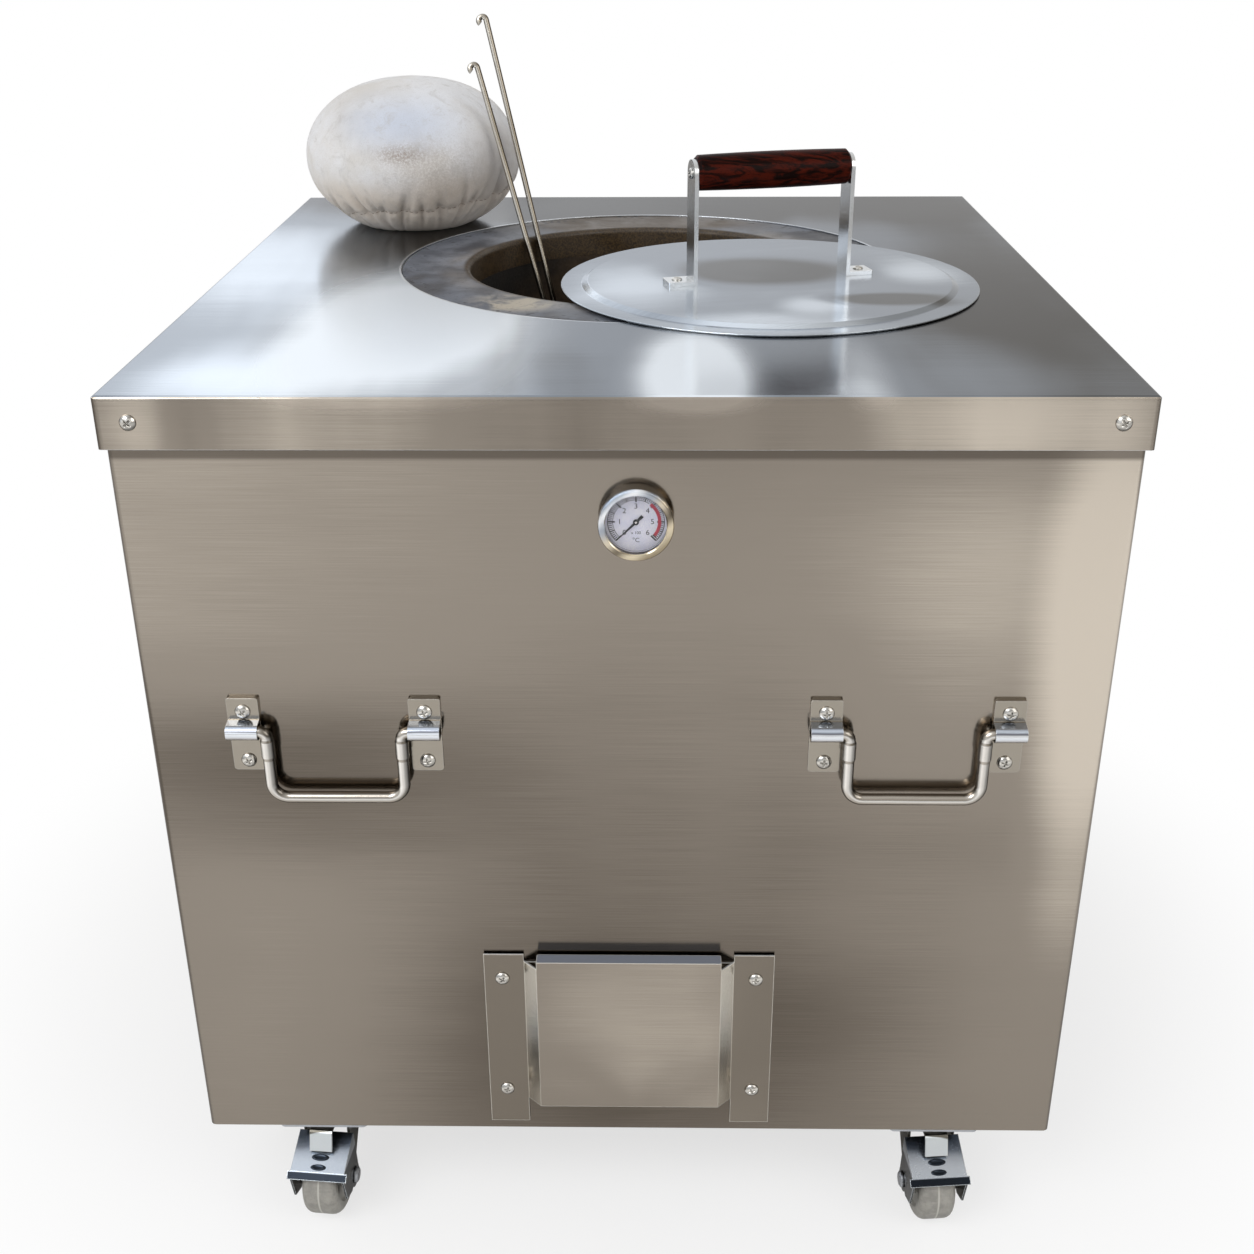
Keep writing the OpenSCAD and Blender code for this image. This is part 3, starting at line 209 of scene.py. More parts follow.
def sheet_steel(name, stops, patches, rough=0.3, edge=0.0006, grain_turn=0.0, clouds=2.2, wave=0.16, streaks=0.0,
                upright_stops=None, upright_patches=(), level_reflection=None, flank_shading=None, inset_shade=None,
                under=None, rim=None, edge_highlight=None, haze=(), grazing=None):
    """Brushed stainless sheet. The grain lies level on upright faces and along X on level ones.

    Stops give the tones from dull to bright, and patches the broad soft areas of each: painted reflections, painted
    highlights and painted shade. Upright faces can have their own. The rest are painted light too: a painted reflection
    on level faces, painted highlight and shade up splayed ones, painted shade behind a depth, a painted shadow under a
    height, a painted highlight round a hole and painted highlights on corners; grazing is the tint of reflections at a
    grazing look. Haze gives patches where the metal turns matte instead of mirroring, so that the painted highlight
    there shows.
    """
    g = Graph(name, Metallic=1.0, Anisotropic=0.5)
    x, y, z = g.split(g.mapped(1.0, turn=(0, 0, grain_turn)))
    up = g.calc("ABSOLUTE", g.facets()[2])
    level = g.calc("GREATER_THAN", up, 0.7)
    upright = g.minus(1.0, level)
    fine = g.plus(g.times(y, level), g.times(z, upright))
    along = g.plus(x, g.times(y, upright))
    lines = g.noise(g.join(g.times(along, 9.0), g.times(fine, 1500.0), 0.0), detail=4, rough=0.7)
    bands = g.noise(g.join(g.times(along, 1.2), g.times(fine, 9.0), 3.0), detail=2)
    smears = g.noise((clouds, clouds * 0.7, clouds * 0.8), detail=2.0, rough=0.4, bend=0.5)
    grain = g.swing(lines, 0.30)
    soft = g.swing(smears, 2.6 * wave)
    soft = g.plus(soft, g.swing(bands, wave))
    if streaks:
        fronts = g.noise((7.0, 1.1, 1.0), move=(0.35, 0, 0), detail=3.0, rough=0.45, bend=0.3)
        soft = g.plus(soft, g.swing(fronts, streaks))
    grain = g.plus(grain, soft)
    colour = g.ramp(g.plus(grain, g.blobs(*patches)), *stops)
    if upright_stops:
        side = g.ramp(g.plus(grain, g.blobs(*upright_patches)), *upright_stops)
        colour = g.mix(level, side, colour)
    # Painted shade on faces set back behind a depth.
    if inset_shade:
        behind, dull = inset_shade
        colour = g.mix(g.span(g.split(g.place)[1], behind, behind + 0.002, 0.0, 0.75), colour, dull)
    # Painted highlight and shade up the splayed faces, by height.
    if flank_shading:
        across = g.calc("ABSOLUTE", g.facets()[0])
        flank = g.ramp(g.split(g.place)[2], *flank_shading)
        colour = g.mix(g.span(across, 0.2, 0.3), colour, flank)
    # Painted shadow in a band just under a height; a negative reach puts the painted shadow along the bottom edge
    # instead.
    if under:
        height, reach, tone = under
        colour = g.mix(g.span(g.split(g.place)[2], height - reach, height - 0.6 * reach, 0.0, 0.7), colour, tone)
    # Painted reflection of the sky on level faces.
    if level_reflection:
        colour = g.mix(level, colour, level_reflection)
    # Painted highlight round a hole's edge.
    if rim:
        centre, radius, tone = rim
        colour = g.mix(g.span(g.radius(centre), radius + 0.0030, radius + 0.0018), colour, tone)
    # Haze patches, and with a level reflection also corners and level faces, turn matte so that their painted tones
    # show.
    matte_share = g.blobs(*haze)
    # Painted highlights along the corners.
    if edge_highlight:
        corners = g.times(g.edges(edge), 0.85)
        colour = g.mix(corners, colour, edge_highlight)
        if level_reflection:
            matte_share = g.plus(matte_share, g.plus(corners, g.times(level, 0.8)))
    if haze or level_reflection:
        g.set("Metallic", g.minus(1.0, g.calc("MINIMUM", matte_share, 0.85)))
    if grazing:
        g.set("Specular Tint", grazing)
    g.set("Tangent", g.join(0.0, 0.3, 1.0))
    roughness = g.span(smears, 0.3, 0.7, rough - 0.04, rough + 0.06)
    return g.finish(colour, roughness, g.bump(lines, 0.00004, 0.5, g.soft_edges(edge)))


def turned_steel(name, tone, rough, edge=0.0004, depth=0.5, bands=(), edge_highlight=None):
    """Polished or plated metal with fine scuffs. Its tone is a painted reflection: it follows the way each face looks,
    as a mirror finish does, with painted shade on faces that look sideways and painted highlights on corners.

    Bands are stripes of another tone, painted light and shade, each from a start to an end along an axis.
    """
    g = Graph(name, Metallic=1.0)
    scuffs = g.noise(700.0, detail=4, rough=0.65)
    clouds = g.noise(45.0, detail=3)
    nx, _, nz = g.facing()
    sideways = g.times(nx, nx)
    facing = g.plus(nz, g.swing(clouds, 0.35))
    facing = g.plus(facing, g.times(nx, -0.25))

    def shade(share):
        return tuple(c * share for c in tone[:3]) + (1.0,)

    low, mid, dip = 1 - 0.95 * depth, 1 - 0.45 * depth, 1 - 0.70 * depth
    # Painted reflection bands, by how far each face looks up.
    colour = g.ramp(facing, (-1.0, shade(mid)), (-0.6, shade(low)), (-0.15, shade(mid)), (0.16, shade(1.0)),
                    (0.5, shade(dip)), (0.9, shade(1.0 - 0.2 * depth)))
    # Painted shade on faces that look sideways.
    colour = g.mix(g.times(g.span(sideways, 0.25, 0.95), 0.75 * depth), colour, shade(low * 0.6))
    size = g.split(g.size_of(g.place))
    # Stripes of painted light and shade.
    for axis, start, end, tint in bands:
        colour = g.mix(g.span(size[axis], start, end), colour, tint)
    # Painted highlights along the corners.
    if edge_highlight:
        colour = g.mix(g.times(g.edges(edge), 0.85), colour, edge_highlight)
    wear = g.plus(g.times(scuffs, 0.6), g.times(clouds, 0.4))
    roughness = g.span(wear, 0.3, 0.7, rough, rough + 0.10)
    return g.finish(colour, roughness, g.bump(scuffs, 0.00003, 0.4, g.soft_edges(edge)))


def mirror_steel(name, upward, across, plate=None):
    """Bright steel with the painted reflection bands of a mirror finish, and painted highlights along its corners.

    Upward gives the painted reflection tones by how far a face looks up, and across the share of them by how far it
    looks along X. Plate gives the depth behind which the form is flat plate, and that plate's tone.
    """
    g = Graph(name, Metallic=1.0)
    scuffs = g.noise(500.0, detail=4, rough=0.65)
    clouds = g.noise(24.0, detail=2)
    nx, _, nz = g.facing()
    drift = g.swing(clouds, 0.25)
    shares = [(at, (share, share, share, 1.0)) for at, share in across]
    colour = g.mix(1.0, g.ramp(g.plus(nz, drift), *upward), g.ramp(nx, *shares), "MULTIPLY")
    if plate:
        depth, tone = plate
        back = g.span(g.split(g.size_of(g.place))[1], depth + 0.0008, depth)
        flat = g.mix(g.times(clouds, 0.4), tone, rgb(186, 180, 168))
        colour = g.mix(back, colour, flat)
    # Painted highlights along the corners.
    colour = g.mix(g.times(g.edges(0.0005), 0.6), colour, rgb(236, 236, 234))
    return g.finish(
        colour,
        g.span(scuffs, 0.3, 0.7, 0.13, 0.21),
        g.bump(scuffs, 0.00003, 0.4, g.soft_edges(0.0005)))


def ring_steel(name, centre, size):
    """Polished bezel with painted reflections: cool and warm bands round it, brightest towards the upper left, and
    painted shade on its outer wall.
    """
    g = Graph(name, Metallic=1.0)
    clouds = g.noise(90.0, detail=3)
    x, _, z = g.split(g.place)
    dx = g.times(g.minus(x, centre.x), -0.6 / size)
    dz = g.times(g.minus(z, centre.z), 0.8 / size)
    way = g.plus(g.plus(dx, dz), g.swing(clouds, 0.2))
    colour = g.ramp(way, (-1.0, rgb(150, 136, 112)), (-0.6, rgb(226, 212, 184)), (-0.3, rgb(128, 118, 102)),
                    (0.05, rgb(222, 210, 188)), (0.4, rgb(170, 176, 186)), (0.75, rgb(250, 252, 255)),
                    (1.0, rgb(176, 186, 200)))
    # Painted shade on the outer wall.
    front = g.calc("ABSOLUTE", g.facing()[1])
    colour = g.mix(g.span(front, 0.35, 0.15), colour, rgb(122, 114, 102))
    return g.finish(colour, g.span(clouds, 0.3, 0.7, 0.10, 0.18), g.soft_edges(0.0004))


def fired_clay(name, dark, light, soot):
    """Coarse dark clay, smoked nearly black in broad patches."""
    g = Graph(name)
    lumps = g.noise(14.0, detail=6, rough=0.62)
    grit = g.noise(420.0, detail=3, rough=0.7)
    rings = g.noise((3, 3, 60), detail=3)
    base = g.mix(g.span(g.plus(g.times(lumps, 0.7), g.times(rings, 0.3)), 0.38, 0.64),
                 dark, light)
    base = g.mix(g.span(g.noise(5.0, move=(4, 2, 0), detail=4), 0.42, 0.6), base, soot)
    height = g.plus(g.times(grit, 0.25), lumps)
    return g.finish(base, g.span(grit, 0.3, 0.7, 0.72, 0.95), g.bump(height, 0.0022, 0.7))


def fire_cement(name, centre, inner, outer):
    """Trowelled blue-grey cement: pits near the outer edge, a pale scorched inner edge."""
    g = Graph(name)
    r = g.radius(centre)
    lumps = g.noise(22.0, detail=6, rough=0.6, bend=0.4)
    grit = g.noise(500.0, detail=2, rough=0.7)
    stain = g.noise(9.0, move=(1.3, 0.4, 0), detail=4)
    scratch = g.noise(230.0, detail=4, rough=0.7)
    base = g.mix(g.span(lumps, 0.34, 0.66), rgb(66, 68, 74), rgb(128, 131, 138))
    base = g.mix(g.span(r, inner + 0.015, outer - 0.008, 0.0, 0.6), base, rgb(74, 80, 92))
    base = g.mix(g.span(stain, 0.50, 0.62, 0.0, 0.8), base, rgb(42, 40, 42))
    warm = g.times(g.span(r, inner + 0.042, inner + 0.004), g.span(stain, 0.40, 0.54))
    base = g.mix(g.times(warm, 0.6), base, rgb(136, 128, 120))
    far = g.times(g.blobs(((-0.01, 0.265, 0.83), (0.24, 0.10, 0.1), 1.6)), g.span(stain, 0.30, 0.5, 0.5, 1.0))
    base = g.mix(g.calc("MINIMUM", far, 0.85), base, rgb(80, 65, 44))
    sand = g.times(g.blobs(((-0.105, -0.118, 0.83), (0.060, 0.050, 0.1), 1.6)), g.span(lumps, 0.36, 0.56))
    base = g.mix(g.calc("MINIMUM", sand, 0.9), base, rgb(176, 166, 148))
    base = g.mix(g.span(scratch, 0.56, 0.68, 0.0, 0.5), base, rgb(34, 32, 34))
    scorched = g.mix(g.span(grit, 0.35, 0.65), rgb(38, 28, 16), rgb(74, 58, 36))
    base = g.mix(g.span(r, inner + 0.009, inner + 0.0035), base, scorched)
    edge = g.span(r, outer - 0.026, outer - 0.004)
    pits = g.span(g.cells(g.mapped(120.0)), 0.36, 0.20)
    sparse = g.span(g.noise(46.0, move=(7, 1, 0), detail=2), 0.46, 0.54)
    pits = g.times(pits, g.times(sparse, g.plus(g.times(edge, 0.9), 0.1)))
    # The pits are painted near black: painted shade in their hollows. The height below also sinks them.
    base = g.mix(pits, base, rgb(16, 14, 14))
    height = g.minus(g.plus(g.times(lumps, 0.6), g.times(grit, 0.12)), pits)
    return g.finish(base, g.span(lumps, 0.3, 0.7, 0.36, 0.6), g.bump(height, 0.0009, 0.8, g.soft_edges(0.0012)))


def rubber(name):
    """Grey moulded wheel: dusty tread, faint flow marks and a pale parting line round its middle."""
    g = Graph(name)
    dust = g.noise(130.0, detail=5, rough=0.65)
    flow = g.noise((40, 300, 300), detail=3)
    base = g.mix(g.span(dust, 0.30, 0.70), rgb(134, 132, 126), rgb(158, 155, 148))
    base = g.mix(g.span(flow, 0.55, 0.7, 0.0, 0.15), base, rgb(98, 95, 90))
    x, y, _ = g.split(g.size_of(g.place))
    turn, (cx, cy) = math.radians(TOE), wheel_middle
    off = g.plus(g.times(g.minus(x, cx), math.cos(turn)),
                 g.times(g.minus(y, cy), -math.sin(turn)))
    base = g.mix(g.span(g.calc("ABSOLUTE", off), 0.0011, 0.0005), base, rgb(186, 184, 176))
    return g.finish(base, g.span(dust, 0.3, 0.7, 0.42, 0.62), g.bump(dust, 0.0002, 0.5, g.soft_edges(0.0006)))


def dark_wood(name, turn):
    """Varnished red-brown hardwood with its grain along the grip."""
    g = Graph(name, Specular_IOR_Level=0.05)
    figure = g.noise((14, 150, 150), turn=(0, 0, -turn), detail=5, rough=0.6, bend=1.2)
    pores = g.noise((60, 1400, 1400), turn=(0, 0, -turn), detail=2)
    base = g.mix(g.span(figure, 0.40, 0.62), rgb(18, 5, 3), rgb(66, 18, 7))
    base = g.mix(g.span(pores, 0.58, 0.70, 0.0, 0.7), base, rgb(10, 4, 4))
    return g.finish(
        base,
        g.span(figure, 0.3, 0.7, 0.26, 0.4),
        g.bump(g.minus(figure, pores), 0.00015, 0.4, g.soft_edges(0.001)))


def cloth(name, centre):
    """Used off-white cotton: plain weave, soft fuzz, blue-grey and beige patches that are partly the cloth's mottling
    and partly painted shade, and a fine scorch mark in front.
    """
    g = Graph(name, Sheen_Weight=0.25, Sheen_Roughness=0.5)
    z = g.split(g.place)[2]
    threads = {"Vector": g.place, "Scale": 260.0, "Distortion": 1.5, "Detail": 2.0}
    warp, weft = (g.made("TexWave", threads, "Fac", wave_type="BANDS", bands_direction=way) for way in "XZ")
    weave = g.times(warp, weft)
    broad = g.noise(11.0, move=(2, 0, 5), detail=5, rough=0.6)
    scuffs = g.noise(46.0, move=(0, 3, 1), detail=6, rough=0.75, bend=0.6)
    speck = g.noise(480.0, detail=5, rough=0.8)
    fuzz = g.noise(800.0, detail=2)
    cx, cy, cz = centre
    base = g.mix(g.span(broad, 0.36, 0.64), rgb(216, 212, 207), rgb(230, 230, 232))
    # Blue-grey and beige patches, partly the used cloth's mottling and partly painted shade: a cool painted shade on
    # the upper front, and darker on the right and low at the front.
    for place, radii, tint, share in (
        ((cx + 0.00, cy - 0.08, cz + 0.040), (0.10, 0.12, 0.045), rgb(176, 190, 214), 1.1),
        ((cx + 0.10, cy - 0.06, cz + 0.000), (0.06, 0.10, 0.07), rgb(160, 149, 138), 0.95),
        ((cx + 0.06, cy - 0.10, cz - 0.030), (0.09, 0.08, 0.04), rgb(176, 164, 152), 0.8),
        ((cx - 0.03, cy - 0.10, cz - 0.045), (0.12, 0.10, 0.04), rgb(206, 193, 178), 0.8),
    ):
        patch = g.times(g.blobs((place, radii, share)), g.span(broad, 0.30, 0.52, 1.0, 0.55))
        base = g.mix(patch, base, tint)
    # Painted shade, warmer and darker towards the bottom.
    base = g.mix(g.span(z, cz - 0.005, cz - 0.050, 0.0, 0.75), base, rgb(212, 197, 180))
    scorch = g.blobs(((cx + 0.000, cy - 0.105, cz + 0.012), (0.040, 0.07, 0.015), 0.75),
                     ((cx + 0.030, cy - 0.10, cz - 0.004), (0.095, 0.09, 0.050), 0.45))
    scorch = g.times(scorch, g.span(speck, 0.36, 0.60))
    base = g.mix(g.calc("MINIMUM", g.times(scorch, 0.9), 0.85), base, rgb(144, 127, 114))
    base = g.mix(g.span(scuffs, 0.50, 0.70, 0.0, 0.42), base, rgb(176, 171, 166))
    base = g.mix(g.span(fuzz, 0.50, 0.80, 0.0, 0.25), base, rgb(168, 162, 155))
    wrinkles = g.noise(38.0, detail=5, rough=0.6)
    height = g.plus(g.times(weave, 0.10), g.times(wrinkles, 0.9))
    height = g.plus(height, g.times(fuzz, 0.10))
    return g.finish(base, g.span(weave, 0.0, 1.0, 0.95, 0.82), g.bump(height, 0.0034, 0.6))


def fibre(name):
    """Matted mineral fibre."""
    g = Graph(name)
    strands = g.noise((90, 90, 700), detail=6, rough=0.7, bend=2.0)
    return g.finish(
        g.mix(g.span(strands, 0.35, 0.65), rgb(206, 200, 182), rgb(236, 232, 220)),
        g.span(strands, 0.3, 0.7, 0.9, 1.0),
        g.bump(strands, 0.002, 0.8))


def print_ink(name, tone, rough=0.5):
    """Thin printed ink or paint with slightly uneven cover."""
    g = Graph(name)
    cover = g.noise(2500.0, detail=2)
    pale = tuple(min(1.0, c * 1.25 + 0.01) for c in tone[:3]) + (1.0,)
    return g.finish(g.mix(g.span(cover, 0.4, 0.7), tone, pale), g.span(cover, 0.3, 0.7, rough, rough + 0.15))


def clear_window(name):
    """Thin clear glass with a trace of haze."""
    g = Graph(name, Transmission_Weight=1.0, IOR=1.3)
    haze = g.noise(120.0, detail=3)
    return g.finish(
        g.mix(g.span(haze, 0.3, 0.8), rgb(255, 255, 255), rgb(244, 246, 252)),
        g.span(haze, 0.4, 0.8, 0.0, 0.03))


def skewer_steel(name, foot_z):
    """Polished rod with painted reflections, dark and bright lines by the way it looks along X, coloured by the heat
    towards its foot.
    """
    g = Graph(name, Metallic=1.0)
    z = g.split(g.place)[2]
    nx = g.facing()[0]
    scuffs = g.noise(260.0, detail=3)
    drift = g.noise(9.0, detail=1)
    nx = g.plus(nx, g.swing(drift, 0.5))
    colour = g.ramp(nx, (-1.0, rgb(84, 76, 64)), (-0.5, rgb(206, 200, 188)), (0.1, rgb(168, 160, 147)),
                    (0.6, rgb(104, 96, 83)), (1.0, rgb(60, 53, 44)))
    heat = g.span(g.plus(z, g.times(scuffs, 0.05)), foot_z + 0.68, foot_z + 0.55, 0.0, 0.8)
    return g.finish(g.mix(heat, colour, rgb(52, 42, 28)), g.span(scuffs, 0.3, 0.7, 0.12, 0.22))


def dress(material, *names):
    for name in names:
        slots = nodes[name].data.materials
        slots.clear()
        slots.append(material)


def each(stem):
    return [f"{stem}_{corner}" for corner in CORNERS]


def box_middle(node):
    low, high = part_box(node)
    return (low + high) / 2


mouth_centre = box_middle("rim_collar")
collar_outer = (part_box("rim_collar")[1] - mouth_centre).x
collar_inner = 0.18
pad_low, pad_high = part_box("bread_cushion")
pad_centre = (pad_low + pad_high) / 2
pad_half = (pad_high.z - pad_low.z) / 2
pad_radius = (pad_high.x - pad_low.x) / 2
lid_low, lid_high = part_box("lid_disc")
lid_centre = (lid_low + lid_high) / 2
wheel_middle = box_middle("caster_wheel_rear_right")[:2]
caster_middle = box_middle("caster_plate_rear_right")[:2]
LID_TURN = 15.0
TOE = 5.0

front_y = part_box("outer_shell")[0].y
shell_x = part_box("outer_shell")[1].x
pan_low, pan_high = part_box("top_pan")
hood_low, hood_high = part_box("vent_hood")
case_low, case_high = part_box("thermometer_case")


# Soft patches of a sheet_steel, by where they are: painted reflections, painted highlights and painted shade.
# Sizes are half widths, and the last number is the patch's strength.


def overall(z, share):
    return (0, 0, z), (9, 9, 9), share


def on_front(x, z, half_x, half_z, share):
    return (x, front_y, z), (half_x, 0.5, half_z), share


def on_deck(x, y, half_x, half_y, share, reach=0.5):
    return (x, y, 0.835), (half_x, half_y, reach), share


def on_lid(x, y, half_x, half_y, share):
    return (lid_centre.x + x, lid_centre.y + y, 0.84), (half_x, half_y, 0.2), share


WARM = ((0.0, rgb(98, 90, 81)), (0.5, rgb(154, 145, 134)), (1.0, rgb(220, 209, 194)))
COOL = ((0.0, rgb(82, 79, 73)), (0.5, rgb(150, 156, 163)), (1.0, rgb(228, 235, 242)))
# Painted reflections and shade on the cabinet: lighter and darker patches on the front, painted dark lines down its two
# side corners, and a painted shadow band just under the pan's skirt.
shell_steel = sheet_steel(
    "shell_steel", WARM, (
        overall(0.45, 0.48),
        on_front(-0.30, 0.74, 0.40, 0.22, 0.28),
        on_front(-0.34, 0.50, 0.30, 0.14, -0.26),
        on_front(-0.34, 0.20, 0.20, 0.30, 0.20),
        on_front(0.02, 0.18, 0.50, 0.26, -0.40),
        on_front(0.04, 0.44, 0.46, 0.26, -0.22),
        on_front(0.30, 0.68, 0.24, 0.24, 0.28),
        on_front(0.385, 0.62, 0.07, 0.40, 0.62),
        on_front(-shell_x, 0.45, 0.006, 2.0, -0.7),
        on_front(shell_x, 0.45, 0.005, 2.0, -0.6)),
    rough=0.15, wave=0.20, under=(pan_low.z, 0.011, rgb(84, 76, 68)))
# Painted reflections, highlights and shade on the deck and skirt: bright patches at the front and left, dark ones at
# the back and right, a painted shadow in front of the cushion, painted dark lines at the skirt's ends, a painted
# highlight round the hole and on corners. The haze patches turn the metal matte under the brightest painted highlights.
pan_steel = sheet_steel(
    "pan_steel", COOL, (
        overall(0.835, 0.44),
        on_deck(-0.31, -0.37, 0.15, 0.16, 0.40),
        on_deck(-0.185, -0.20, 0.14, 0.30, 1.10),
        on_deck(-0.36, 0.05, 0.16, 0.36, 0.50),
        on_deck(0.055, -0.37, 0.07, 0.20, 0.85),
        on_deck(0.30, -0.35, 0.07, 0.16, 0.20),
        on_deck(0.17, -0.42, 0.05, 0.09, 0.25),
        on_deck(0.40, -0.15, 0.28, 0.60, -0.50),
        on_deck(0.00, 0.40, 0.75, 0.24, -0.78),
        on_deck(0.34, 0.28, 0.20, 0.20, -0.22),
        on_deck(-0.24, 0.15, 0.14, 0.14, -0.34)),
    rough=0.13, edge=0.0008, clouds=3.0, wave=0.22, streaks=0.9,
    upright_stops=WARM, upright_patches=(
        overall(0.81, 0.48),
        on_front(-0.38, 0.82, 0.05, 0.10, 0.22),
        on_front(-0.335, 0.81, 0.03, 0.10, -0.16),
        on_front(-0.20, 0.82, 0.12, 0.10, 0.16),
        on_front(0.04, 0.81, 0.20, 0.10, -0.08),
        on_front(0.30, 0.82, 0.14, 0.10, 0.50),
        on_front(0.385, 0.82, 0.05, 0.10, 0.12),
        on_front(-pan_high.x, 0.81, 0.006, 0.2, -0.7),
        on_front(pan_high.x, 0.81, 0.005, 0.2, -0.6)),
    rim=(mouth_centre, collar_outer, rgb(214, 218, 222)), edge_highlight=rgb(240, 243, 246), grazing=rgb(224, 224, 225),
    haze=(
        on_deck(-0.185, -0.22, 0.16, 0.36, 2.8, 0.02),
        on_deck(0.055, -0.38, 0.07, 0.24, 2.0, 0.02),
        on_deck(0.19, -0.36, 0.03, 0.16, 0.9, 0.02)))
# Painted light on the hood: painted shade on the flanges set back behind the face, painted highlight and shade up its
# splayed sides, a painted sky reflection on level faces and painted highlights on corners.
hood_steel = sheet_steel(
    "hood_steel", WARM, (overall(0.2, 0.56), on_front(-0.01, 0.26, 0.12, 0.16, 0.08)),
    rough=0.20, clouds=7.0, wave=0.26, edge=0.0015, inset_shade=(front_y - 0.0125, rgb(126, 118, 107)),
    level_reflection=rgb(124, 130, 142), edge_highlight=rgb(226, 222, 212), flank_shading=(
        (hood_low.z, rgb(120, 111, 99)), (hood_low.z + 0.05, rgb(196, 186, 170)), (hood_high.z, rgb(226, 220, 208))))
# Painted reflections on the lid: a dark patch across the middle and one to the front right, lighter ones at the left,
# front and right, painted highlights on corners and a painted shadow along the bottom of its edge.
lid_steel = sheet_steel(
    "lid_steel", COOL, (
        overall(0.84, 0.54),
        on_lid(-0.13, -0.03, 0.09, 0.16, 0.36),
        on_lid(0.00, 0.03, 0.13, 0.09, -1.05),
        on_lid(0.105, -0.085, 0.085, 0.034, -0.90),
        on_lid(0.035, -0.11, 0.045, 0.05, 0.42),
        on_lid(-0.02, -0.17, 0.15, 0.05, 0.34),
        on_lid(0.15, 0.03, 0.06, 0.09, 0.36)),
    rough=0.14, clouds=8.0, wave=0.20, edge=0.0010, grain_turn=-LID_TURN, edge_highlight=rgb(236, 242, 246),
    under=(lid_low.z, -0.0018, rgb(14, 14, 16)), grazing=rgb(244, 245, 247))
polished = turned_steel("polished_steel", rgb(232, 228, 220), 0.12, depth=0.8)
satin = turned_steel("satin_steel", rgb(232, 234, 235), 0.16, depth=0.22)
rod_steel = mirror_steel(
    "rod_steel", (
        (-1.0, rgb(116, 106, 94)), (-0.86, rgb(52, 45, 38)), (-0.58, rgb(122, 112, 100)), (-0.28, rgb(196, 188, 177)),
        (0.08, rgb(246, 242, 236)), (0.34, rgb(170, 162, 150)), (0.70, rgb(190, 182, 171)), (1.0, rgb(118, 109, 97))),
    ((-1.0, 0.12), (-0.75, 0.55), (-0.42, 1.12), (0.0, 0.86), (0.5, 0.36), (0.85, 0.10), (1.0, 0.16)))
strap_steel = mirror_steel(
    "strap_steel", (
        (-1.0, rgb(120, 114, 108)), (-0.6, rgb(190, 188, 186)), (-0.1, rgb(236, 240, 246)), (0.25, rgb(250, 252, 255)),
        (0.5, rgb(120, 122, 130)), (0.75, rgb(206, 214, 226)), (1.0, rgb(170, 176, 186))),
    ((-1.0, 0.45), (-0.6, 1.0), (0.6, 1.0), (1.0, 0.40)), plate=(-front_y + 0.0050, rgb(162, 154, 142)))
zinc = turned_steel("zinc_plate", rgb(196, 199, 204), 0.24, depth=0.4)
# The fork has a painted highlight along its front edge and on its corners, and the pedal painted shade on its upper
# end, a painted dark lip and darker ears below it, and painted highlights on its corners that end the lip in a bright
# line.
fork_zinc = turned_steel("fork_zinc", rgb(112, 108, 99), 0.26, depth=0.7, edge=0.0008, edge_highlight=rgb(176, 172, 162),
                         bands=((1, 0.4163, 0.4168, rgb(214, 219, 221)),))
pedal_zinc = turned_steel("pedal_zinc", rgb(214, 221, 230), 0.19, edge=0.0012, depth=0.35, edge_highlight=rgb(226, 232, 236),
                          bands=((2, 0.0730, 0.0850, rgb(120, 128, 140)), (2, 0.0704, 0.0692, rgb(30, 34, 40)),
                                 (2, 0.0620, 0.0608, rgb(44, 43, 41))))
# The embossed ovals are painted dark: painted reflection and shade that make them stand out on the pedal's steel.
embossed = turned_steel("embossed_mark", rgb(52, 58, 66), 0.12, depth=0.8)
primer = turned_steel("primed_steel", rgb(92, 92, 92), 0.55, depth=0.2)
clay = fired_clay("fired_clay", rgb(36, 25, 14), rgb(78, 60, 38), rgb(18, 13, 8))
cement = fire_cement("fire_cement", mouth_centre, collar_inner, collar_outer)
dial_face = print_ink("dial_enamel", rgb(232, 229, 244), 0.35)
ink = print_ink("black_ink", rgb(24, 22, 26))
red_ink = print_ink("red_ink", rgb(196, 62, 78))

dress(shell_steel, "outer_shell", "rear_panel", "base_plate")
dress(pan_steel, "top_pan")
dress(hood_steel, "vent_hood", "vent_damper")
dress(zinc, "hood_spacers", "caster_bolts", *each("caster_plate"), *each("caster_axle"))
dress(primer, "base_frame", "vent_duct")
dress(fibre("mineral_fibre"), "insulation")
dress(clay, "clay_pot", "pot_slab")
dress(cement, "rim_collar")
dress(ring_steel("bezel_steel", (case_low + case_high) / 2, (case_high.x - case_low.x) / 2), "thermometer_case")
dress(polished, "thermometer_probe", "thermometer_nut")
dress(dial_face, "thermometer_dial")
dress(ink, "thermometer_pointer")
dress(clear_window("clear_window"), "thermometer_window")
dress(strap_steel, *each("handle_brackets"))
dress(rod_steel, *each("handle"))
dress(satin, "lid_upright_left", "lid_upright_right")
dress(fork_zinc, *each("caster_fork"))
dress(rubber("wheel_rubber"), *each("caster_wheel"))
dress(pedal_zinc, *each("brake_pedal"))
dress(lid_steel, "lid_disc")
dress(dark_wood("dark_wood", LID_TURN), "lid_grip")
dress(skewer_steel("skewer_steel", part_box("skewer_a")[0].z), "skewer_a", "skewer_b")


# ---------------------------------------------------------------- mesh helpers


def placed(name, data):
    """A new object in the scene."""
    thing = bpy.data.objects.new(name, data)
    bpy.context.scene.collection.objects.link(thing)
    return thing


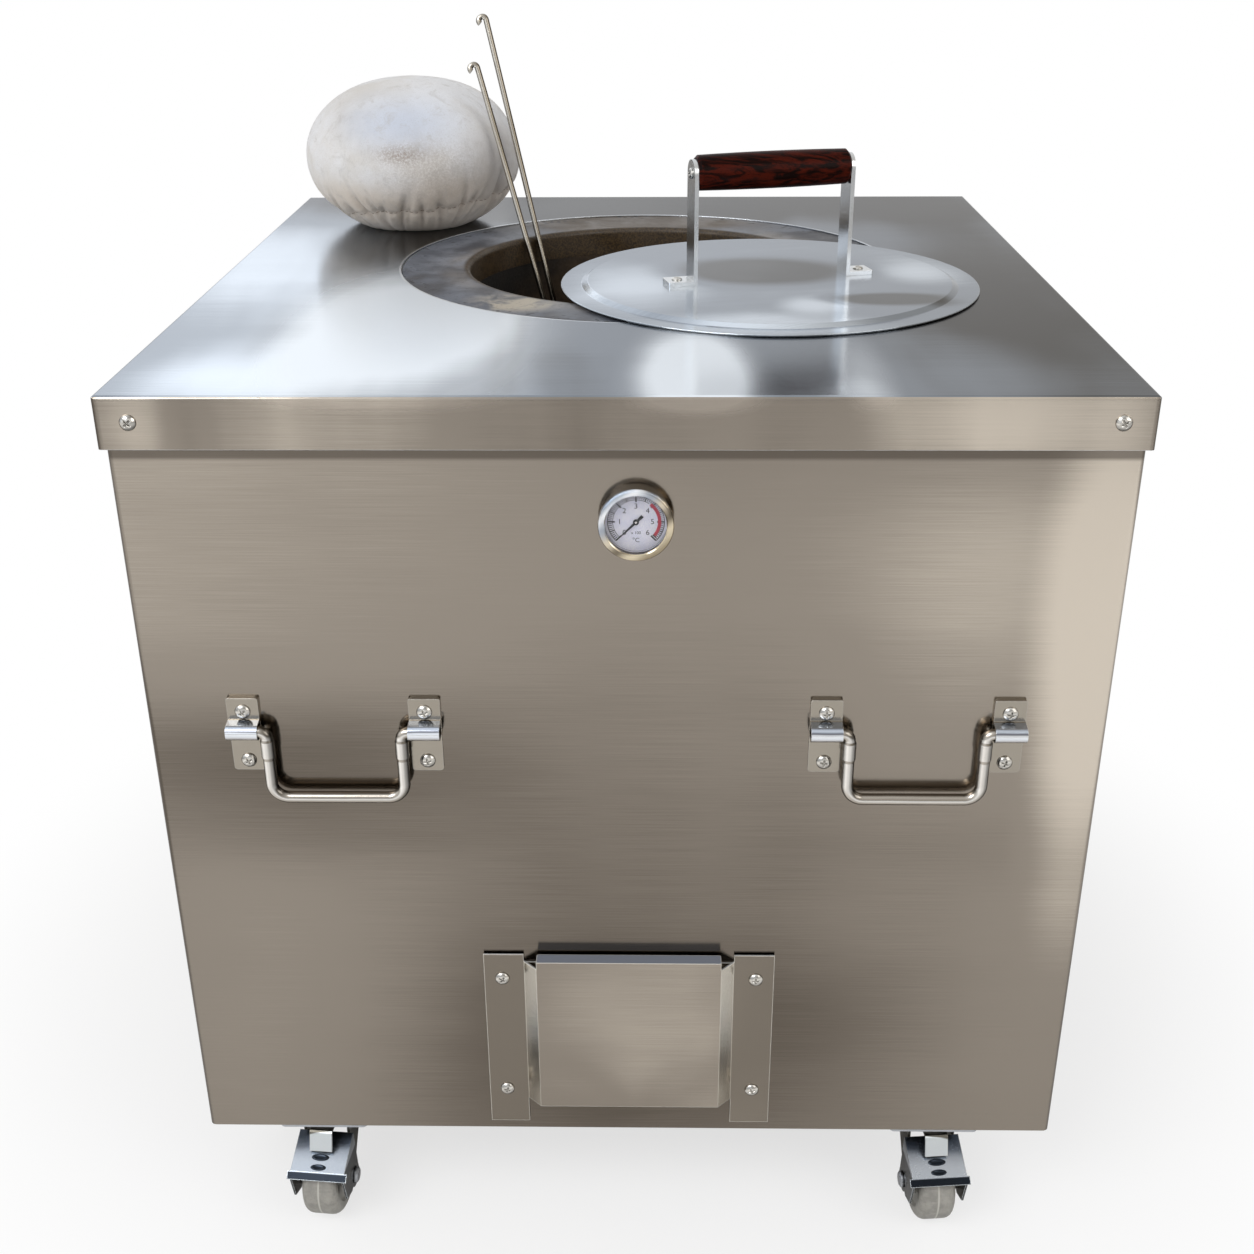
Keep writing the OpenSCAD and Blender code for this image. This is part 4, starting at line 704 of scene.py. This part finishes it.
def final_mesh(thing):
    """A new mesh of an object as it is with its modifiers."""
    bpy.context.view_layer.update()
    return bpy.data.meshes.new_from_object(thing.evaluated_get(bpy.context.evaluated_depsgraph_get()))


def make_piece(name, points, faces, material, smooth=True):
    mesh = bpy.data.meshes.new(name)
    mesh.from_pydata([tuple(p) for p in points], [], faces)
    mesh.update()
    mesh.materials.append(material)
    if smooth:
        mesh.polygons.foreach_set("use_smooth", [True] * len(mesh.polygons))
    return placed(name, mesh)


class Parts:
    """Points and faces gathered from many small shapes into one mesh, which becomes a piece of a body."""

    def __init__(self):
        self.points, self.faces = [], []

    def add(self, points, faces, place=Matrix.Identity(4)):
        start = len(self.points)
        self.points += [place @ Vector(p) for p in points]
        self.faces += [[start + i for i in f] for f in faces]

    def piece(self, name, material, body, slot, smooth=True, stands_for=None):
        made = make_piece(name, self.points, self.faces, material, smooth)
        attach(made, body)
        if stands_for:
            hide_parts(stands_for)


def islands(node):
    """Boxes of a CAD node's separate solids."""
    work = bmesh.new()
    work.from_mesh(nodes[node].data)
    bmesh.ops.remove_doubles(work, verts=work.verts, dist=1e-6)
    left, found = set(work.verts), []
    while left:
        stack, group = [left.pop()], []
        while stack:
            v = stack.pop()
            group.append(v.co.copy())
            for e in v.link_edges:
                other = e.other_vert(v)
                if other in left:
                    left.discard(other)
                    stack.append(other)
        low = Vector([min(p[k] for p in group) for k in range(3)])
        high = Vector([max(p[k] for p in group) for k in range(3)])
        found.append((low, high))
    work.free()
    return sorted(found, key=lambda b: (round(b[0].z, 4), round(b[0].x, 4), round(b[0].y, 4)))


def screw_shape(head_r, head_h, shank_r, shank_l, profile, sides=40, rings=12):
    """A screw about +Z whose head sits on z = 0, with a cross recess pressed into the head."""
    arm, half_width, depth = 0.56 * head_r, 0.13 * head_r, 0.55 * head_h

    def height(x, y):
        r = math.hypot(x, y)
        cross = max(min(half_width - abs(x), arm - abs(y)), min(half_width - abs(y), arm - abs(x)))
        dip = min(max(cross / (0.09 * head_r), 0.0), 1.0)
        return head_h * profile(r / head_r) - depth * dip * dip * (3 - 2 * dip)

    circle = [(math.cos(math.tau * j / sides), math.sin(math.tau * j / sides)) for j in range(sides)]
    points = [(0, 0, height(0, 0))]
    for i in range(1, rings + 1):
        r = head_r * (i / rings) ** 0.85
        points += [(r * x, r * y, height(r * x, r * y)) for x, y in circle]
    for r, z in ((head_r, 0.0), (shank_r, 0.0), (shank_r, -shank_l)):
        points += [(r * x, r * y, z) for x, y in circle]
    loops = rings + 3
    faces = [[0, 1 + j, 1 + (j + 1) % sides] for j in range(sides)]
    for i in range(loops - 1):
        for j in range(sides):
            a, b = 1 + i * sides + j, 1 + i * sides + (j + 1) % sides
            faces.append([a, a + sides, b + sides, b])
    faces.append([1 + (loops - 1) * sides + j for j in range(sides - 1, -1, -1)])
    return points, faces


def pan_head(t):
    """Height of a screw's head at a share of its radius."""
    return 1.0 - 0.75 * t**3.2


def outward(box):
    """Unit vector from a wall screw's shank to its head."""
    centre = (box[0] + box[1]) / 2
    if pan_high.y - abs(centre.y) < pan_high.x - abs(centre.x):
        return Vector((0, math.copysign(1, centre.y), 0))
    return Vector((math.copysign(1, centre.x), 0, 0))


def axis_frame(axis, origin, spin=0.0):
    """Matrix that takes +Z to axis and the origin to a point, turned by spin degrees about the axis."""
    turn = Vector((0, 0, 1)).rotation_difference(axis).to_matrix().to_4x4()
    return Matrix.Translation(origin) @ turn @ Matrix.Rotation(math.radians(spin), 4, "Z")


# ---------------------------------------------------------------- fasteners


def build_panel_screws():
    head_r, head_h, shank_r, shank_l = 6.5 * MM, 3.4 * MM, 2.4 * MM, 10 * MM
    shape = screw_shape(head_r, head_h, shank_r, shank_l, pan_head)
    parts = Parts()
    for n, box in enumerate(islands("panel_screws")):
        out = outward(box)
        centre = (box[0] + box[1]) / 2
        seat = centre + out * ((shank_l + head_h) / 2 - head_h)
        parts.add(*shape, axis_frame(out, seat, (n * 37) % 90))
    parts.piece("panel_screws_crossed", polished, "cabinet", "bright_steel", stands_for="panel_screws")


def build_lid_screws():
    """Screws through the uprights' feet, and longer ones into the ends of the grip."""
    head_r, head_h, shank_r, short_l, long_l = 5 * MM, 2.4 * MM, 2.4 * MM, 6 * MM, 24 * MM
    short = screw_shape(head_r, head_h, shank_r, short_l, pan_head)
    long = screw_shape(head_r, head_h, shank_r, long_l, pan_head)
    side = Matrix.Rotation(math.radians(LID_TURN), 3, "Z") @ Vector((1, 0, 0))
    parts = Parts()
    for n, (low, high) in enumerate(islands("lid_screws")):
        centre = (low + high) / 2
        if centre.z < lid_high.z + 0.02:
            seat = Vector((centre.x, centre.y, high.z - head_h))
            parts.add(*short, axis_frame(Vector((0, 0, 1)), seat, 20 + n * 31))
        else:
            out = side if (centre - lid_centre).dot(side) > 0 else -side
            parts.add(*long, axis_frame(out, centre + out * ((long_l + head_h) / 2 - head_h), 35))
    parts.piece("lid_screws_crossed", polished, "lid", "bright_steel", stands_for="lid_screws")


# ---------------------------------------------------------------- thermometer


def build_dial_marks():
    """Ticks, numbers and a red arc, printed on the dial; 0 is at the lower left, and the scale runs clockwise."""
    low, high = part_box("thermometer_dial")
    centre = (low + high) / 2
    face_y = low.y
    edge = (high.x - low.x) / 2
    black, red = Parts(), Parts()

    def at(angle, r, lift=0.00006):
        a = math.radians(angle)
        return (centre.x + r * math.cos(a), face_y - lift, centre.z + r * math.sin(a))

    def bar(parts, angle, r0, r1, width):
        a = math.radians(angle)
        side = Vector((-math.sin(a), 0, math.cos(a))) * width / 2
        p, q = Vector(at(angle, r0)), Vector(at(angle, r1))
        parts.add([p - side, q - side, q + side, p + side], [[0, 1, 2, 3]])

    def arc(parts, a0, a1, r0, r1, lift=0.00006):
        count = max(2, int(abs(a1 - a0) / 3))
        points = []
        for i in range(count + 1):
            a = a0 + (a1 - a0) * i / count
            points += [at(a, r0, lift), at(a, r1, lift)]
        parts.add(points, [[2 * i, 2 * i + 1, 2 * i + 3, 2 * i + 2] for i in range(count)])

    steps = 60
    for i in range(steps + 1):
        inner, width = (0.64, 0.0012) if i % 10 == 0 else (0.70, 0.0009) if i % 5 == 0 else (0.74, 0.0006)
        bar(black, 225 - 270 * i / steps, inner * edge, 0.86 * edge, width)
    arc(black, 225, -45, 0.855 * edge, 0.875 * edge)
    arc(black, 225, 56, 0.70 * edge, 0.715 * edge)
    arc(red, 52, -38, 0.665 * edge, 0.765 * edge, 0.00011)
    bar(black, -40, 0.66 * edge, 0.80 * edge, 0.0011)
    arc(black, 270, 630, 0.955 * edge, 0.962 * edge)

    def write(text, x, z, size):
        curve = bpy.data.curves.new("number", "FONT")
        curve.body, curve.size = text, size
        curve.align_x, curve.align_y = "CENTER", "CENTER"
        curve.resolution_u = 3
        thing = placed("number", curve)
        mesh = final_mesh(thing)
        place = Matrix.Translation((x, face_y - 0.00008, z)) @ Matrix.Rotation(math.radians(90), 4, "X")
        black.add([v.co for v in mesh.vertices], [list(p.vertices) for p in mesh.polygons], place)
        bpy.data.objects.remove(thing)
        bpy.data.curves.remove(curve)
        bpy.data.meshes.remove(mesh)

    for i in range(7):
        a = math.radians(225 - 45 * i)
        write(str(i), centre.x + 0.50 * edge * math.cos(a), centre.z + 0.50 * edge * math.sin(a), 0.0062)
    write("x 100", centre.x, centre.z - 0.36 * edge, 0.0034)
    write("°C", centre.x, centre.z - 0.60 * edge, 0.0052)

    black.piece("dial_marks", ink, "cabinet", "pointer_black", smooth=False)
    red.piece("dial_red_arc", red_ink, "cabinet", "dial_enamel", smooth=False)


# ---------------------------------------------------------------- casters


def on_caster(corner):
    """Takes a point drawn about a caster's upright axis, with its pedal to +Y, to the frame."""
    side_x = 1 if "right" in corner else -1
    side_y = 1 if "rear" in corner else -1
    turn = math.radians(-side_x * TOE)
    cx, cy = caster_middle

    def place(p):
        x = p[0] * math.cos(turn) - p[1] * math.sin(turn) + side_x * cx
        y = p[0] * math.sin(turn) + p[1] * math.cos(turn) + cy
        return (x, side_y * y, p[2])

    return place


def build_pedal_marks():
    """Two oval embossings on the sloping face of each brake pedal."""
    back, front = Vector((0, 0.018, 0.086)), Vector((0, 0.057, 0.070))
    run = (front - back).normalized()
    out = Vector((0, -run.z, run.y))
    profile = ((1.0, -0.0002), (0.94, 0.0005), (0.80, 0.0010), (0.62, 0.0007), (0.30, 0.0003))
    sides = 28
    for corner in CORNERS:
        place = on_caster(corner)
        parts = Parts()
        for along, half_x, half_y in ((0.64, 0.0088, 0.0036), (0.88, 0.0078, 0.0032)):
            middle = back.lerp(front, along)
            points = []
            for share, lift in profile:
                for j in range(sides):
                    a = math.tau * j / sides
                    p = middle + Vector((share * half_x * math.cos(a), 0, 0)) + run * share * half_y * math.sin(a)
                    points.append(place(p + out * lift))
            points.append(place(middle + out * 0.0003))
            faces = [[i + j, i + (j + 1) % sides, i + sides + (j + 1) % sides, i + sides + j]
                     for i in range(0, (len(profile) - 1) * sides, sides) for j in range(sides)]
            last = len(points) - 1
            faces += [[last - sides + j, last - sides + (j + 1) % sides, last] for j in range(sides)]
            parts.add(points, faces)
        parts.piece(f"pedal_marks_{corner}", embossed, f"pedal_{corner}", "pedal_steel")


# ---------------------------------------------------------------- cushion


def seam_up(angle):
    """Height of the seam in degrees from the pad's middle, lowest at the front left."""
    return -36.0 + 8.0 * np.cos(angle - 0.5) + 0.9 * np.sin(3 * angle + 0.7) + 0.5 * np.sin(7 * angle + 2.0)


def cushion_start():
    """Slack closed form a little smaller than the finished pad."""
    rings, sides = 26, 64
    points, faces = [(pad_centre.x, pad_centre.y, pad_low.z + 0.10 * pad_half)], []
    for i in range(1, rings):
        up = math.radians(-90 + 180 * i / rings)
        r = 0.90 * pad_radius * math.cos(up) ** 0.9
        z = pad_centre.z + 0.88 * pad_half * math.sin(up)
        points += [(pad_centre.x + r * math.cos(a), pad_centre.y + r * math.sin(a), z)
                   for a in (math.tau * j / sides for j in range(sides))]
    points.append((pad_centre.x, pad_centre.y, pad_high.z - 0.12 * pad_half))
    last = len(points) - 1
    for j in range(sides):
        k = (j + 1) % sides
        faces.append([0, 1 + k, 1 + j])
        for i in range(rings - 2):
            a, b = 1 + i * sides, 1 + (i + 1) * sides
            faces.append([a + j, a + k, b + k, b + j])
        faces.append([last, last - sides + j, last - sides + k])
    return points, faces


def applied(piece, kind, name, **settings):
    """Adds a modifier, applies it and leaves the piece with the resulting mesh."""
    modifier = piece.modifiers.new(name, kind)
    for key, value in settings.items():
        setattr(modifier, key, value)
    mesh = final_mesh(piece)
    piece.modifiers.clear()
    old, piece.data = piece.data, mesh
    bpy.data.meshes.remove(old)


def points_of(piece):
    co = np.zeros(len(piece.data.vertices) * 3)
    piece.data.vertices.foreach_get("co", co)
    return co.reshape(-1, 3)


def set_points(piece, co):
    piece.data.vertices.foreach_set("co", co.ravel())
    piece.data.update()


def inflate(piece, pressure, cap):
    """Swells the closed cloth by pressure for 20 frames; no point moves further than cap."""
    before = points_of(piece)
    cloth_mod = piece.modifiers.new("swell", "CLOTH")
    settings = cloth_mod.settings
    settings.quality = 6
    settings.use_pressure = True
    settings.uniform_pressure_force = pressure
    settings.effector_weights.gravity = 0.0
    settings.tension_stiffness = settings.compression_stiffness = 12.0
    settings.bending_stiffness = 0.6
    scene = bpy.context.scene
    for f in range(1, 21):
        scene.frame_set(f)
    move = points_of(piece.evaluated_get(bpy.context.evaluated_depsgraph_get())) - before
    length = np.maximum(np.linalg.norm(move, axis=1), 1e-9)
    move *= np.minimum(1.0, cap / length)[:, None]
    piece.modifiers.clear()
    scene.frame_set(1)
    set_points(piece, before + move)


def creases(angle, off):
    """Depth of the short folds gathered along the seam, at uneven places from fixed sines."""
    depth = np.zeros_like(angle)
    for k in range(46):
        a = -math.pi + math.tau * (k + 0.32 * math.sin(2.4 * k)) / 46
        reach_up = 13 + 7 * math.sin(1.7 * k + 0.4)
        reach_down = 15 + 6 * math.sin(2.9 * k)
        strength = 0.0048 + 0.0016 * math.sin(4.1 * k)
        if 2.6 < abs(a) and k % 3 == 0:
            reach_up, strength = 34, 0.0056
        lean = 0.004 * math.sin(5.3 * k) * off
        turn = (angle - a - lean + math.pi) % (math.tau) - math.pi
        reach = np.where(off >= 0, reach_up, reach_down)
        depth += strength * np.exp(-((turn / 0.032) ** 2)) * np.exp(-((off / reach) ** 2))
    return depth


def around_pad(d):
    """Angle, height in degrees and height over the seam of points given from the pad's middle."""
    angle = np.arctan2(d[:, 1], d[:, 0])
    flat_r = np.maximum(np.hypot(d[:, 0], d[:, 1]), 1e-6)
    up = np.degrees(np.arctan2(d[:, 2] / pad_half, flat_r / pad_radius))
    return angle, up, up - seam_up(angle)


def build_cushion():
    """Stuffed pad: swollen by cloth pressure, then set in its solid's box, gathered along its seam and rested flat."""
    voxel, pressure, cap, sink, fullness = 0.0044, 4.0, 0.024, 0.011, 2.04
    pad = make_piece("bread_pad", *cushion_start(), cloth("cushion_cotton", pad_centre))
    applied(pad, "REMESH", "even", mode="VOXEL", voxel_size=voxel)
    inflate(pad, pressure, cap)
    applied(pad, "SUBSURF", "fine", levels=1)

    # its box is the solid's, sunk a little so that the rounded bottom becomes a flat of some width
    co = points_of(pad)
    low, high = co.min(0), co.max(0)
    want_low = np.array(pad_low) - np.array((0, 0, sink))
    co = want_low + (co - low) / (high - low) * (np.array(pad_high) - want_low)

    # the lower half is a little fuller than round
    centre = np.array(pad_centre)
    d = co - centre
    tall = np.arctan2(np.abs(d[:, 2]) / pad_half, np.hypot(d[:, 0], d[:, 1]) / pad_radius)
    fuller = (np.cos(tall) ** fullness + np.sin(tall) ** fullness) ** (-1 / fullness)
    d *= np.where(d[:, 2] < 0, fuller, 1.0)[:, None]

    # the seam's groove and pleats go in along the skin's normal
    angle, up, off = around_pad(d)
    groove = np.exp(-((off / 2.4) ** 2))
    valley = np.exp(-((off / 12.0) ** 2))
    inward = 0.0012 * groove + 0.0010 * valley + creases(angle, off)
    dents = 0.0016 * np.sin(5 * angle + 3 * d[:, 2] / pad_half) * np.cos(np.radians(up)) ** 2
    normal = d / np.array((pad_radius, pad_radius, pad_half)) ** 2
    normal /= np.linalg.norm(normal, axis=1)[:, None]
    co = centre + d - normal * (inward + dents)[:, None]
    co[:, 2] = np.maximum(co[:, 2], pad_low.z)
    low, high = co.min(0), co.max(0)
    grow = (np.array(pad_high) - np.array(pad_low))[:2] / (high - low)[:2]
    co[:, :2] = centre[:2] + (co[:, :2] - (low + high)[:2] / 2) * grow
    set_points(pad, co)
    pad.data.polygons.foreach_set("use_smooth", [True] * len(pad.data.polygons))
    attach(pad, "cushion")
    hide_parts("bread_cushion")
    return pad


def surface_ring(pad, count):
    """Points on the pad's skin along its seam."""
    co = points_of(pad)
    angle, _, off = around_pad(co - np.array(pad_centre))
    ring = []
    for j in range(count):
        a = -math.pi + math.tau * (j + 0.5) / count
        turn = np.abs((angle - a + math.pi) % (math.tau) - math.pi)
        near = np.hypot(turn * 30, off * 0.55)
        best = np.argsort(near)[:6]
        weight = 1 / (near[best] + 0.05)
        ring.append((co[best] * weight[:, None]).sum(0) / weight.sum())
    return np.array(ring)


def build_seam(pad):
    """Sewing thread along the seam, in short stitches that dip into the cloth."""
    count, sides, thread = 420, 5, 0.00040
    ring = surface_ring(pad, count)
    smooth = (np.roll(ring, 1, 0) + ring * 2 + np.roll(ring, -1, 0)) / 4
    out = smooth - np.array(pad_centre)
    out[:, 2] *= 0.3
    out /= np.linalg.norm(out, axis=1)[:, None]
    parts = Parts()
    for start in range(0, count, 4):
        run = [(start + k) % count for k in range(4)]
        points, faces = [], []
        for k, i in enumerate(run):
            along = smooth[(i + 1) % count] - smooth[i - 1]
            along /= np.linalg.norm(along)
            side = np.cross(out[i], along)
            lift = thread * (0.9 if k in (1, 2) else -0.4)
            middle = smooth[i] + out[i] * lift
            size = thread * (1.0 if k in (1, 2) else 0.55)
            for s in range(sides):
                a = math.tau * s / sides
                points.append(middle + size * (math.cos(a) * out[i] + math.sin(a) * side))
        for k in range(3):
            for s in range(sides):
                t = (s + 1) % sides
                faces.append([k * sides + s, k * sides + t, (k + 1) * sides + t, (k + 1) * sides + s])
        faces.append(list(range(sides))[::-1])
        faces.append([3 * sides + s for s in range(sides)])
        parts.add(points, faces)
    parts.piece("pad_seam_thread", print_ink("seam_thread", rgb(138, 120, 104), 0.8), "cushion", "cushion_cloth")


# ---------------------------------------------------------------- stage, light and camera


def build_stage():
    """Pale floor. The camera sees it as white far off, and with the object's shadow close by."""
    floor = make_piece("floor", [(-30, -30, 0), (30, -30, 0), (30, 30, 0), (-30, 30, 0)], [[0, 1, 2, 3]], None, False)
    g = Graph("pale_floor", Roughness=1.0)
    g.set("Specular IOR Level", 0.0)
    g.set("Base Color", g.mix(g.noise(0.6, detail=2), rgb(238, 238, 238), rgb(242, 242, 242)))
    glow = g.made("Emission", {"Color": (1, 1, 1, 1)})
    seen = g.node("LightPath").outputs["Is Camera Ray"]
    share = g.times(seen, g.span(g.length(g.place), 0.45, 0.95, 0.68, 1.0))
    g.plug(g.out.inputs["Surface"], g.made("MixShader", {0: share, 1: g.bsdf.outputs[0], 2: glow}))
    floor.data.materials.clear()
    floor.data.materials.append(g.material)


def build_world():
    """White to the camera, a room brighter on the left to reflections, and an even soft fill to all else."""
    world = bpy.data.worlds.new("studio")
    bpy.context.scene.world = world
    world.use_nodes = True
    w = Tree(world.node_tree)
    across = w.split(w.node("TexCoord").outputs["Generated"])[0]
    room = w.mix(w.span(across, -0.45, 0.55), (1.0, 1.04, 1.10, 1), (0.66, 0.64, 0.61, 1))
    rays = w.node("LightPath").outputs
    mirror = w.calc("MAXIMUM", rays["Is Glossy Ray"], rays["Is Transmission Ray"])
    fill = w.made("Background", {"Color": (1, 1, 1, 1), "Strength": 0.55})
    shown = w.made("Background", {"Color": room, "Strength": 1.0})
    seen = w.made("Background", {"Color": (1, 1, 1, 1), "Strength": 1.0})
    lit = w.made("MixShader", {0: mirror, 1: fill, 2: shown})
    w.plug(w.node("OutputWorld").inputs["Surface"], w.made("MixShader", {0: rays["Is Camera Ray"], 1: lit, 2: seen}))


def add_lamp(name, place, target, size, power, tone=(1, 1, 1)):
    data = bpy.data.lights.new(name, "AREA")
    data.shape, data.size, data.size_y = "RECTANGLE", size[0], size[1]
    data.energy, data.color = power, tone
    lamp = placed(name, data)
    lamp.location = place
    lamp.rotation_mode = "QUATERNION"
    lamp.rotation_quaternion = (Vector(target) - Vector(place)).to_track_quat("-Z", "Y")
    lamp.visible_camera = False


def build_camera():
    """The photograph's camera, solved from the cabinet's corners, edges and wheels."""
    data = bpy.data.cameras.new("camera")
    data.sensor_width, data.lens = 36.0, 44.72
    data.clip_start, data.clip_end = 0.05, 100.0
    camera = placed("camera", data)
    yaw, pitch, roll = (math.radians(v) for v in (1.038, 25.426, 0.307))
    turn = Matrix.Rotation(yaw, 4, "Z") @ Matrix.Rotation(-pitch, 4, "X") @ Matrix.Rotation(roll, 4, "Y")
    place = Matrix.Translation((0.02263, -1.55914, 1.18334))
    camera.matrix_world = place @ turn @ Matrix.Rotation(math.radians(90), 4, "X")
    bpy.context.scene.camera = camera


build_stage()
build_world()
add_lamp("key", (-1.9, -2.3, 2.9), (0, 0, 0.6), (2.4, 1.8), 62)
add_lamp("fill", (2.3, -1.9, 2.2), (0, 0, 0.5), (2.0, 2.0), 26)
add_lamp("back", (-1.6, 3.4, 2.1), (0, 0, 0.7), (2.6, 1.2), 5, (0.93, 0.97, 1.0))
build_camera()
bpy.context.scene.view_settings.view_transform = "Standard"

build_panel_screws()
build_lid_screws()
build_dial_marks()
build_pedal_marks()
build_seam(build_cushion())
